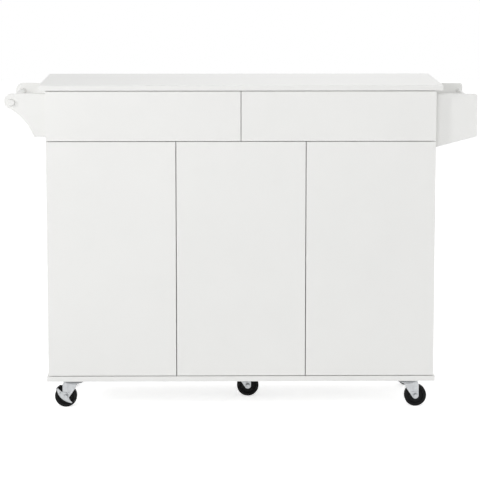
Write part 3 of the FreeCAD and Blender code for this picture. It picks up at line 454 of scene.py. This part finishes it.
def solids_of(node):
    """The lowest and highest corners of each separate solid of a CAD node."""
    shape = copy_of(node)
    left = set(shape.faces)
    boxes = []
    for first in shape.faces:
        if first not in left:
            continue
        left.remove(first)
        joined = [first]
        points = []
        while joined:
            face = joined.pop()
            points += [vert.co.copy() for vert in face.verts]
            near = {other for edge in face.edges for other in edge.link_faces} & left
            left -= near
            joined += near
        boxes.append((Vector(map(min, zip(*points))), Vector(map(max, zip(*points)))))
    shape.free()
    return boxes


# ------------------------------------------------------------------ boards


class ISLAND_OT_worktop(bpy.types.Operator):
    """Round the edges of the worktop and of the drop leaf"""

    bl_idname = "island.worktop"
    bl_label = "Worktop and Leaf"

    def execute(self, context):
        dress_boards(("worktop", "drop_leaf"), context.scene.island_detail.worktop_edge)
        return {"FINISHED"}


class ISLAND_OT_carcass(bpy.types.Operator):
    """Round the edges of the carcass boards"""

    bl_idname = "island.carcass"
    bl_label = "Carcass"

    def execute(self, context):
        boards = ("base_panel", "left_side_panel", "right_side_panel", "left_divider",
                  "right_divider", "drawer_deck", "drawer_partition", "back_rail", "back_panel")
        dress_boards(boards, context.scene.island_detail.board_edge)
        return {"FINISHED"}


class ISLAND_OT_shelves(bpy.types.Operator):
    """Round the edges of the shelves and plate their pins"""

    bl_idname = "island.shelves"
    bl_label = "Shelves"

    def execute(self, context):
        shelves = ("left_shelf", "centre_shelf", "right_shelf")
        dress_boards(shelves, context.scene.island_detail.board_edge)
        dress_metal(("shelf_pins",), 0.4 * MM)
        return {"FINISHED"}


class ISLAND_OT_fronts(bpy.types.Operator):
    """Round the edges of the doors and of the drawer fronts"""

    bl_idname = "island.fronts"
    bl_label = "Doors and Drawer Fronts"

    def execute(self, context):
        fronts = [side + "_door" for side in DOORS] + [side + "_drawer_front" for side in DRAWERS]
        dress_boards(fronts, context.scene.island_detail.board_edge)
        return {"FINISHED"}


class ISLAND_OT_drawers(bpy.types.Operator):
    """Finish the drawer boxes, their bottoms and their runners"""

    bl_idname = "island.drawers"
    bl_label = "Drawer Boxes"

    def execute(self, context):
        for side in DRAWERS:
            paint((side + "_drawer_box", side + "_drawer_bottom"))
        dress_metal(("left_drawer_runners", "right_drawer_runners", "cabinet_runners"), FINE_EDGE)
        return {"FINISHED"}


# ------------------------------------------------------------------ hinges and stays


class ISLAND_OT_door_hinges(bpy.types.Operator):
    """Round the concealed hinges and add the screws of their cups and mounting plates"""

    bl_idname = "island.door_hinges"
    bl_label = "Door Hinges"

    def execute(self, context):
        radius = context.scene.island_detail.hinge_screw
        flange_height = 40 * MM   # a cup's flange is taller than this, and its pin is not
        cup_spread, cup_head = 22 * MM, 0.8 * MM
        plate_spread, plate_head = 15 * MM, 1.2 * MM

        def cup_screws(shape, name):
            for low, high in solids_of(name):
                if high.z - low.z > flange_height:
                    middle = (low + high) / 2
                    for rise in (-cup_spread, cup_spread):
                        centre = (middle.x, high.y, middle.z + rise)
                        screw_head(shape, centre, REAR, radius, cup_head)

        def plate_screws(shape, name):
            for low, high in solids_of(name):
                middle = (low + high) / 2
                inward, face = (RIGHT, high.x) if middle.x < 0 else (-RIGHT, low.x)
                for rise in (-plate_spread, plate_spread):
                    centre = (face, middle.y, middle.z + rise)
                    screw_head(shape, centre, inward, radius, plate_head)

        dress_metal([side + "_door_hinge_cups" for side in DOORS], FINE_EDGE, cup_screws)
        dress_metal(("door_hinge_arms",), 0.4 * MM)
        dress_metal(("door_hinge_plates",), HARD_EDGE, plate_screws)
        return {"FINISHED"}


class ISLAND_OT_leaf_hardware(bpy.types.Operator):
    """Break the edges of the leaf's hinges and folding stays, and add their screws"""

    bl_idname = "island.leaf_hardware"
    bl_label = "Leaf Hinges and Stays"

    def execute(self, context):
        radius = context.scene.island_detail.leaf_screw
        wing = 1.5 * MM              # thickness of a leaf hinge's two wings
        inset = 5.5 * MM             # from a wing's free edge to its screws
        shifts = (-20 * MM, 0, 20 * MM)
        head = 0.7 * MM
        bracket_height = 60 * MM     # a stay's bracket is taller than this, and its pin is not
        bracket_thick = 2 * MM
        bracket_spread = 16.6 * MM   # from a bracket's middle to its screws, sideways
        bracket_rise = 27 * MM       # and up and down
        bracket_head = 1.2 * MM

        def plate_screws(shape, name):
            for low, high in solids_of(name):
                for shift in shifts:
                    centre = ((low.x + high.x) / 2 + shift, low.y + inset, high.z - wing)
                    screw_head(shape, centre, -UP, radius, head)

        def flap_screws(shape, name):
            for low, high in solids_of(name):
                for shift in shifts:
                    centre = ((low.x + high.x) / 2 + shift, high.y - wing, low.z + inset)
                    screw_head(shape, centre, -REAR, radius, head)

        def bracket_screws(shape, name):
            for low, high in solids_of(name):
                if high.z - low.z > bracket_height:
                    middle = (low + high) / 2
                    for across in (-bracket_spread, bracket_spread):
                        for rise in (-bracket_rise, bracket_rise):
                            centre = (middle.x + across, low.y + bracket_thick, middle.z + rise)
                            screw_head(shape, centre, REAR, radius * 1.2, bracket_head)

        dress_metal(("leaf_hinge_plates",), FINE_EDGE, plate_screws)
        dress_metal(("leaf_hinge_flaps",), FINE_EDGE, flap_screws)
        dress_metal(("leaf_hinge_pins",), FINE_EDGE)
        dress_metal(("stay_brackets",), HARD_EDGE, bracket_screws)
        dress_metal(("left_stay_strut", "right_stay_strut", "stay_rests"), 0.8 * MM)
        return {"FINISHED"}


# ------------------------------------------------------------------ racks


class ISLAND_OT_towel_rack(bpy.types.Operator):
    """Round the towel rack's bracket boards and turn its bar with softened ends"""

    bl_idname = "island.towel_rack"
    bl_label = "Towel Rack"

    def execute(self, context):
        detail = context.scene.island_detail
        dress_boards(("towel_ear_front", "towel_ear_rear"), detail.rack_edge, 0)
        centre, radius, half = rod_sizes(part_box("towel_bar"))
        slope = detail.bar_end_round
        bar = lathe([(0, -half), (radius - slope, -half), (radius, -half + slope),
                     (radius, half - slope), (radius - slope, half), (0, half)],
                    REAR, centre, steps=72)
        soften(bar, slope / 2)
        settle(bar, "towel_bar_rod", "towel_bar")
        return {"FINISHED"}


class ISLAND_OT_spice_rack(bpy.types.Operator):
    """Round the spice rack's boards and turn its rail"""

    bl_idname = "island.spice_rack"
    bl_label = "Spice Rack"

    def execute(self, context):
        detail = context.scene.island_detail
        dress_boards(("spice_front_panel", "spice_rear_panel"), detail.rack_edge, 0.4 * MM)
        dress_boards(("spice_shelf",), detail.rack_edge)
        centre, radius, half = rod_sizes(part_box("spice_rail"))
        rail = lathe([(0, -half), (radius, -half), (radius, half), (0, half)],
                     REAR, centre, steps=48)
        soften(rail, 0.6 * MM, sharper=40, segments=2)
        settle(rail, "spice_rail_rod", "spice_rail")
        return {"FINISHED"}


# ------------------------------------------------------------------ casters


class ISLAND_OT_caster_plates(bpy.types.Operator):
    """Break the edges of the casters' mounting plates, kingpins and screws"""

    bl_idname = "island.caster_plates"
    bl_label = "Caster Plates"

    def execute(self, context):
        dress_metal(("caster_plates", "caster_screws"), 0.4 * MM)
        return {"FINISHED"}


class ISLAND_OT_forks(bpy.types.Operator):
    """Build the casters' pressed forks: flared crown, channelled cheeks, axle bolt and nut"""

    bl_idname = "island.forks"
    bl_label = "Caster Forks"

    # the crown, a drooping rim over a neck round the kingpin: radius and drop from the top, in mm
    CROWN = ((5.05, 0), (22.5, 0), (24.6, 0.7), (26.5, 2.6), (27.7, 4.8), (28, 6.2), (27.6, 6.8),
             (24.5, 7.2), (20, 9.2), (17, 11), (5.05, 11))
    # a cheek's upper corners: distance behind the kingpin and drop from the top, in mm
    CHEEK = ((28.5, 4), (31.7, 13), (-8, 4), (-8, 18))
    HUB = 9.2 * MM            # radius of a cheek round the axle
    PANEL_START = 8.5 * MM    # the pressed panel starts this far above the axle
    PANEL_RIM = 2.4 * MM
    PANEL_DEPTH = 0.6 * MM
    CHANNEL_HEIGHT = 25 * MM  # a point of the channel, this far above the axle
    CHANNEL_WALL = 0.3 * MM
    CHANNEL_DEPTH = 0.9 * MM
    PRESSED_EDGE = 0.25 * MM
    BOLT = 4 * MM             # radius of the axle bolt
    BOLT_TIP = 3.4 * MM       # radius of its chamfered ends
    PROUD = 0.2 * MM          # how far its ends stand out of the head and the nut

    def crown(self, swivel, top):
        """The turned crown, with its hole for the kingpin."""
        profile = [(radius * MM, top - drop * MM) for radius, drop in self.CROWN]
        return lathe(profile, UP, (swivel.x, swivel.y, 0), steps=72, closed=True)

    def cheek(self, detail, trail, axle_height, top):
        """One cheek, flat on the drawing plane: backwards along X and upwards along Y."""
        thick = detail.cheek_thick
        corners = [(behind * MM, top - drop * MM) for behind, drop in self.CHEEK]
        plate = hull_plate((trail, axle_height), self.HUB, corners, thick)
        score(plate, (0, axle_height + self.PANEL_START, 0), (0, 1, 0))
        panel = max(faces_upwards(plate), key=lambda face: face.calc_center_median().y)
        press_in(plate, [panel], self.PANEL_RIM, self.PANEL_DEPTH)
        # a pressed channel runs down the panel
        channel_start = detail.channel_place
        channel_end = channel_start + detail.channel_width
        for edge in (channel_start, channel_end):
            score(plate, (edge, 0, 0), (1, 0, 0))
        middle = Vector(((channel_start + channel_end) / 2, axle_height + self.CHANNEL_HEIGHT,
                         thick - self.PANEL_DEPTH))
        channel = min(plate.faces, key=lambda face: (face.calc_center_median() - middle).length)
        bmesh.ops.inset_region(plate, faces=[channel], thickness=self.CHANNEL_WALL,
                               depth=-self.CHANNEL_DEPTH)
        soften(plate, self.PRESSED_EDGE, sharper=25, segments=2)
        return plate

    def axle_bolt(self, fork, detail, axle, half, front, rear):
        """The bolt through both cheeks, with its head to the front and its nut to the rear."""
        head = detail.nut_height
        room = front - half - head   # for a brake pedal, between the front cheek and the head
        hexagon(fork, (axle.x, axle.y - half - room, axle.z), -REAR, detail.nut_radius, head)
        hexagon(fork, (axle.x, axle.y + half, axle.z), REAR, detail.nut_radius, head)
        front_end = -front - self.PROUD
        rear_end = rear + self.PROUD
        merge(fork, lathe([(0, front_end), (self.BOLT_TIP, front_end), (self.BOLT, -half - room),
                           (self.BOLT, half), (self.BOLT_TIP, rear_end), (0, rear_end)],
                          REAR, axle, steps=32))

    def execute(self, context):
        detail = context.scene.island_detail
        for caster in CASTERS:
            swivel = PIVOTS[caster + "_swivel_turn"]
            wheel = PIVOTS[caster + "_wheel_spin"]
            axle = Vector((wheel.x, swivel.y, wheel.z))
            side = 1 if axle.x > swivel.x else -1
            low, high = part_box(caster + "_fork")
            half = detail.fork_width / 2
            fork = self.crown(swivel, high.z)
            for outward in (-1, 1):
                cheek = self.cheek(detail, abs(axle.x - swivel.x), axle.z, high.z)
                inner = swivel.y + outward * (half - detail.cheek_thick)
                bmesh.ops.transform(cheek, verts=cheek.verts, matrix=Matrix((
                    (side, 0, 0, swivel.x), (0, 0, outward, inner), (0, 1, 0, 0), (0, 0, 0, 1))))
                merge(fork, cheek)
            self.axle_bolt(fork, detail, axle, half, swivel.y - low.y, high.y - swivel.y)
            face_outwards(fork)
            settle(fork, caster + "_fork_pressed", caster + "_fork")
        return {"FINISHED"}


class ISLAND_OT_wheels(bpy.types.Operator):
    """Turn the casters' wheels with a dished web, a raised hub and a rounded tread"""

    bl_idname = "island.wheels"
    bl_label = "Wheels"

    BORE = 4.05 * MM
    HUB = (9.6 * MM, 10.4 * MM)       # radii of the raised hub's face and foot
    RIM = (21.2 * MM, 22.6 * MM)      # radii of the foot and the face of the rim
    RIM_END = (26.4 * MM, 27.1 * MM)  # radii between which the rim steps down to the tread
    HUB_PROUD = 0.75 * MM             # how far the hub stands out past the rim
    WEB_DEPTH = 4 * MM
    TREAD_STEP = 0.7 * MM
    SHOULDER = 3.6 * MM               # rounding of the tread's two shoulders
    MOULD_EDGE = 0.35 * MM            # rounding of every other ring
    SHARP = 0.5                       # edges sharper than this, in radians, are rounded

    def execute(self, context):
        for caster in CASTERS:
            low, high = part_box(caster + "_wheel")
            centre = (low + high) / 2
            tread = (high.z - low.z) / 2
            hub = (high.y - low.y) / 2
            rim = hub - self.HUB_PROUD
            web = rim - self.WEB_DEPTH
            step = rim - self.TREAD_STEP
            half = list(zip((self.BORE, *self.HUB, *self.RIM, *self.RIM_END, tread),
                            (hub, hub, web, web, rim, rim, step, step)))
            profile = half + [(radius, -height) for radius, height in reversed(half)]
            wheel = lathe(profile, REAR, centre, steps=96, closed=True)

            def sharp_rings(least, most):
                """The sharp edges that run round the wheel between two radii."""
                found = []
                for edge in wheel.edges:
                    first, second = (math.hypot(vert.co.x - centre.x, vert.co.z - centre.z)
                                     for vert in edge.verts)
                    if (abs(first - second) < SAME_POINT and least < first < most
                            and edge.calc_face_angle(0) > self.SHARP):
                        found.append(edge)
                return found

            shoulders = sharp_rings(tread - SAME_POINT, math.inf)
            round_edges(wheel, shoulders, self.SHOULDER, 6)
            # the rings inside those that the shoulders' rounding has made
            others = sharp_rings(0, tread - self.SHOULDER - self.MOULD_EDGE)
            round_edges(wheel, others, self.MOULD_EDGE, 2)
            settle(wheel, caster + "_wheel_turned", caster + "_wheel")
        return {"FINISHED"}


class ISLAND_OT_pedals(bpy.types.Operator):
    """Press the brake pedals and mould the shoes at their upper ends"""

    bl_idname = "island.pedals"
    bl_label = "Brake Pedals"

    # half a leaf that bulges downwards, with a round ear over the axle: along and across, in mm
    OUTLINE = ((36, 0), (34, -3.4), (26.9, -7.2), (19, -10.6), (10.6, -12.3), (3, -12.4),
               (-3, -11.7), (-9, -10.2), (-14.4, -7.9), (-20, -4.9), (-25.5, -1.6), (-25, 0.9),
               (-16.6, 1), (-11.5, 2.4), (-9, 4.4), (-6.5, 7.2), (-2.2, 9.6), (3.2, 10.2),
               (8, 9.2), (11.2, 7), (14.3, 3.8), (18, 2.2), (22, 1.6), (34, 1.6))
    HOLE = (19.4 * MM, -3.6 * MM)
    HOLE_RADIUS = 1.7 * MM
    RIM = 1.1 * MM                  # width of the raised rim
    RIM_HEIGHT = 0.5 * MM
    PRESSED_EDGE = 0.25 * MM
    LEAN = math.radians(45)         # of the pedal, up from the level
    SHOE = (33.2 * MM, 34.9 * MM)   # inner and outer radius of the shoe, round the axle
    SHOE_START = math.radians(-7)   # where the shoe starts, from the pedal's own line
    SHOE_SWEEP = math.radians(26)
    GRIP_EDGE = 0.5 * MM            # from the edge of each of the shoe's faces to its grip
    GRIP_HEIGHT = 0.4 * MM

    def plate(self, thick):
        """The pressed steel plate, flat on the drawing plane with its rim raised."""
        outline = [(along * MM, across * MM) for along, across in self.OUTLINE]
        plate = cut_plate(outline, thick, self.HOLE, self.HOLE_RADIUS)
        press_in(plate, faces_upwards(plate), self.RIM, self.RIM_HEIGHT)
        soften(plate, self.PRESSED_EDGE, sharper=35, segments=2)
        return plate

    def shoe(self, thick, reach):
        """The moulded shoe: a block swept round the tread, with a row of grips on its back."""
        shoe = bmesh.new()
        inner, outer = self.SHOE
        corners = ((inner, 0, thick), (outer, 0, thick), (outer, 0, -reach), (inner, 0, -reach))
        end = shoe.faces.new([shoe.verts.new(corner) for corner in corners])
        bmesh.ops.rotate(shoe, cent=(0, 0, 0), verts=end.verts,
                         matrix=Matrix.Rotation(self.SHOE_START, 3, "Z"))
        bmesh.ops.spin(shoe, geom=[end], cent=(0, 0, 0), axis=(0, 0, 1), dvec=(0, 0, 0),
                       angle=self.SHOE_SWEEP, steps=7, use_merge=False, use_duplicate=False)
        face_outwards(shoe)
        # the chords of the back lie a little nearer to the axle than their corners
        back = [face for face in shoe.faces if abs(face.normal.z) < 0.1
                and face.calc_center_median().xy.length > outer - 0.3 * MM]
        bmesh.ops.inset_individual(shoe, faces=back, thickness=self.GRIP_EDGE,
                                   depth=self.GRIP_HEIGHT)
        soften(shoe, 0.2 * MM, sharper=35, segments=2)
        return shoe

    def execute(self, context):
        detail = context.scene.island_detail
        rise, run = math.sin(self.LEAN), math.cos(self.LEAN)
        for caster in BRAKED:
            node = caster + "_brake_pedal"
            pivot = PIVOTS[caster + "_brake_rock"]
            side = 1 if pivot.x > PIVOTS[caster + "_swivel_turn"].x else -1
            # along the pedal, across it towards the fork, and out to the front
            place = Matrix(((side * run, -side * rise, 0, pivot.x), (0, 0, -1, pivot.y),
                            (rise, run, 0, pivot.z), (0, 0, 0, 1)))
            plate = self.plate(detail.pedal_thick)
            shoe = self.shoe(detail.pedal_thick, detail.fork_width / 2)
            for shape in (plate, shoe):
                bmesh.ops.transform(shape, matrix=place, verts=shape.verts)
                face_outwards(shape)
            settle(plate, node + "_plate", node)
            settle(shoe, node + "_shoe", node, stands_for=False, slot="wheel_plastic")
        return {"FINISHED"}


# ------------------------------------------------------------------ stage


def area_lamp(name, place, target, size, power):
    """A soft square lamp that the camera doesn't see."""
    lamp = bpy.data.lights.new(name, "AREA")
    lamp.shape = "SQUARE"
    lamp.size = size
    lamp.energy = power
    made = bpy.data.objects.new(name, lamp)
    bpy.context.scene.collection.objects.link(made)
    made.location = place
    made.rotation_euler = (Vector(target) - Vector(place)).to_track_quat("-Z", "Y").to_euler()
    made.visible_camera = False


def background_rays(material):
    """1 for the rays that should see the white background, from Light Path."""
    path = add(material, "LightPath").outputs
    seen = add(material, "Math", {0: path["Is Camera Ray"], 1: path["Is Glossy Ray"]},
               operation="MAXIMUM").outputs[0]
    return add(material, "Math", {0: seen, 1: path["Is Transmission Ray"]},
               operation="MAXIMUM").outputs[0]


def lay_floor(scene, stage):
    """Matt paper, lifted to white for the camera so that only the shadow shows."""
    shape = bmesh.new()
    bmesh.ops.create_grid(shape, x_segments=1, y_segments=1, size=stage.floor_half)
    mesh = bpy.data.meshes.new("stage_floor")
    shape.to_mesh(mesh)
    shape.free()
    floor = bpy.data.objects.new("stage_floor", mesh)
    scene.collection.objects.link(floor)
    paper = bpy.data.materials.new("Matt white paper")
    paper.use_nodes = True
    paper.node_tree.nodes.clear()
    matt = add(paper, "BsdfDiffuse", {"Color": (*stage.floor_colour, 1.0), "Roughness": 0.0})
    lift = add(paper, "Emission", {"Color": WHITE, "Strength": stage.floor_lift})
    dark = add(paper, "Emission", {"Color": WHITE, "Strength": 0.0})
    glow = add(paper, "MixShader", {0: background_rays(paper), 1: dark.outputs[0],
                                    2: lift.outputs[0]})
    both = add(paper, "AddShader", {0: matt.outputs[0], 1: glow.outputs[0]})
    add(paper, "OutputMaterial", {"Surface": both.outputs[0]})
    mesh.materials.append(paper)


def light_world(scene, stage):
    """An even light all round, which the camera and reflections see as white."""
    world = bpy.data.worlds.new("Studio")
    scene.world = world
    world.use_nodes = True
    world.node_tree.nodes.clear()
    around = add(world, "Background", {"Color": WHITE, "Strength": stage.sky})
    white = add(world, "Background", {"Color": WHITE, "Strength": 1.0})
    mixed = add(world, "MixShader", {0: background_rays(world), 1: around.outputs[0],
                                     2: white.outputs[0]})
    add(world, "OutputWorld", {"Surface": mixed.outputs[0]})


def place_camera(scene, stage):
    """The camera, in front of the island and a little above its worktop."""
    lens = bpy.data.cameras.new("camera")
    lens.lens = stage.lens
    lens.sensor_width = 36
    lens.clip_end = 100
    camera = bpy.data.objects.new("camera", lens)
    scene.collection.objects.link(camera)
    camera.location = stage.camera_place
    camera.rotation_euler = (math.pi / 2 - stage.camera_pitch, 0, -stage.camera_yaw)
    scene.camera = camera
    scene.view_settings.view_transform = "Standard"


class ISLAND_OT_stage(bpy.types.Operator):
    """Lay the floor, hang the lamps, light the world and place the camera"""

    bl_idname = "island.stage"
    bl_label = "Stage"

    # each lamp's place and the side of its square, in metres; its power is a setting
    LAMPS = {
        "key": ((-4.2, -2.6, 2.3), 0.8),
        "front": ((-1.6, -6.4, 3.2), 2.6),
        "fill": ((4.2, -3.6, 2.6), 2.4),
        "rear": ((1.0, 4.6, 4.2), 3.0),
    }
    TARGET = (0, 0, 0.5)

    def execute(self, context):
        scene = context.scene
        stage = scene.island_stage
        lay_floor(scene, stage)
        light_world(scene, stage)
        for name, (place, size) in self.LAMPS.items():
            area_lamp(name + "_lamp", place, self.TARGET, size, getattr(stage, name))
        place_camera(scene, stage)
        return {"FINISHED"}


# ------------------------------------------------------------------ settings


def colour(name, description, code):
    """A colour setting, with an sRGB hex default."""
    return bpy.props.FloatVectorProperty(name=name, description=description, subtype="COLOR",
                                         size=3, min=0.0, max=1.0, default=linear(code))


def length(name, description, default):
    """A length setting, in metres."""
    return bpy.props.FloatProperty(name=name, description=description, subtype="DISTANCE",
                                   unit="LENGTH", min=0.0, precision=5, default=default)


def angle(name, description, degrees):
    """An angle setting, with its default in degrees."""
    return bpy.props.FloatProperty(name=name, description=description, subtype="ANGLE",
                                   default=math.radians(degrees))


def level(name, description, default, **kind):
    """A setting that is a plain amount, from 0 up."""
    return bpy.props.FloatProperty(name=name, description=description, min=0.0, default=default,
                                   **kind)


class IslandFinish(bpy.types.PropertyGroup):
    lacquer: colour("Lacquer", "Satin lacquer of the fronts, the carcass and the racks", "F4F4F2")
    worktop: colour("Worktop", "Lacquer of the worktop and the leaf", "F3F3F1")
    hardboard: colour("Hardboard", "Printed face of the back and the drawer bottoms", "EAEAE6")
    drawer: colour("Drawer Board", "Melamine face of the drawer boxes", "EFEFEC")
    powder: colour("Powder Coat", "Coating of the leaf's stays and their pads", "ECECE9")
    nickel: colour("Nickel", "Plating of the hinges and the shelf pins", "C9C6BF")
    zinc: colour("Zinc", "Plating of the casters and the drawer runners", "B9BBBD")
    nylon: colour("Wheel Nylon", "Moulded wheels and brake shoes", "121213")
    gloss: level("Lacquer Roughness", "How matt the lacquer is", 0.42, subtype="FACTOR", max=1.0)


class IslandDetail(bpy.types.PropertyGroup):
    board_edge: length("Board Edge", "Rounding of the boards' edges", 0.4 * MM)
    worktop_edge: length("Worktop Edge", "Rounding of the worktop's and leaf's edges", 0.8 * MM)
    rack_edge: length("Rack Edge", "Rounding of the towel and spice rack boards", 1.2 * MM)
    bar_end_round: length("Bar End", "Rounding of the towel bar's ends", 1.5 * MM)
    fork_width: length("Fork Width", "Width of a caster's fork over its two cheeks", 32.4 * MM)
    cheek_thick: length("Cheek", "Thickness of a caster fork's steel", 2.2 * MM)
    channel_place: length("Channel Place", "Where a cheek's channel starts behind the swivel",
                          13.4 * MM)
    channel_width: length("Channel Width", "Width of the channel pressed in a cheek", 3.6 * MM)
    nut_radius: length("Nut Radius", "Half the width of an axle nut over its corners", 6.5 * MM)
    nut_height: length("Nut Height", "Height of an axle nut", 4.5 * MM)
    pedal_thick: length("Pedal", "Thickness of a brake pedal's steel", 2 * MM)
    hinge_screw: length("Hinge Screw", "Radius of the heads of the door hinges' screws", 3.2 * MM)
    leaf_screw: length("Leaf Screw", "Radius of the heads of the leaf hinges' screws", 2.8 * MM)


class IslandStage(bpy.types.PropertyGroup):
    floor_half: length("Floor Half Size", "Half the side of the square floor", 12.0)
    floor_colour: colour("Floor", "Colour of the paper that the island stands on", "F2F2F2")
    floor_lift: level("Floor Lift", "Light added to the floor as the camera sees it", 0.66)
    sky: level("Sky", "Strength of the even light all round", 0.5)
    key: level("Key Lamp", "Power of the small lamp on the left", 56.0, unit="POWER")
    front: level("Front Lamp", "Power of the large lamp in front", 82.0, unit="POWER")
    fill: level("Fill Lamp", "Power of the lamp on the right", 30.0, unit="POWER")
    rear: level("Rear Lamp", "Power of the lamp behind the island", 52.0, unit="POWER")
    lens: level("Lens", "Focal length on a 36 mm sensor, in millimetres", 169.3)
    camera_place: bpy.props.FloatVectorProperty(
        name="Camera Place", description="Where the camera stands", subtype="TRANSLATION",
        unit="LENGTH", size=3, default=(-0.081, -6.526, 1.423))
    camera_pitch: angle("Camera Pitch", "How far the camera looks down", 8.398)
    camera_yaw: angle("Camera Yaw", "How far the camera looks to the right", 0.71)


STEPS = (
    ISLAND_OT_worktop, ISLAND_OT_carcass, ISLAND_OT_shelves, ISLAND_OT_fronts, ISLAND_OT_drawers,
    ISLAND_OT_door_hinges, ISLAND_OT_leaf_hardware, ISLAND_OT_towel_rack, ISLAND_OT_spice_rack,
    ISLAND_OT_caster_plates, ISLAND_OT_forks, ISLAND_OT_wheels, ISLAND_OT_pedals, ISLAND_OT_stage,
)


class VIEW3D_PT_island(bpy.types.Panel):
    """The island's sizes, colours and building steps"""

    bl_label = "Kitchen Island"
    bl_space_type = "VIEW_3D"
    bl_region_type = "UI"
    bl_category = "Island"

    def draw(self, context):
        scene = context.scene
        for group in (scene.island_finish, scene.island_detail, scene.island_stage):
            column = self.layout.column(align=True)
            for name in group.bl_rna.properties.keys():
                if name not in ("rna_type", "name"):
                    column.prop(group, name)
        for step in STEPS:
            self.layout.operator(step.bl_idname)


GROUPS = {"island_finish": IslandFinish, "island_detail": IslandDetail, "island_stage": IslandStage}


def register():
    for made in (*GROUPS.values(), *STEPS, VIEW3D_PT_island):
        bpy.utils.register_class(made)
    for name, group in GROUPS.items():
        setattr(bpy.types.Scene, name, bpy.props.PointerProperty(type=group))


def unregister():
    for name in GROUPS:
        delattr(bpy.types.Scene, name)
    for made in reversed((*GROUPS.values(), *STEPS, VIEW3D_PT_island)):
        bpy.utils.unregister_class(made)


def main():
    register()
    for step in STEPS:
        group, name = step.bl_idname.split(".")
        getattr(getattr(bpy.ops, group), name)()


if __name__ == "__main__":
    main()
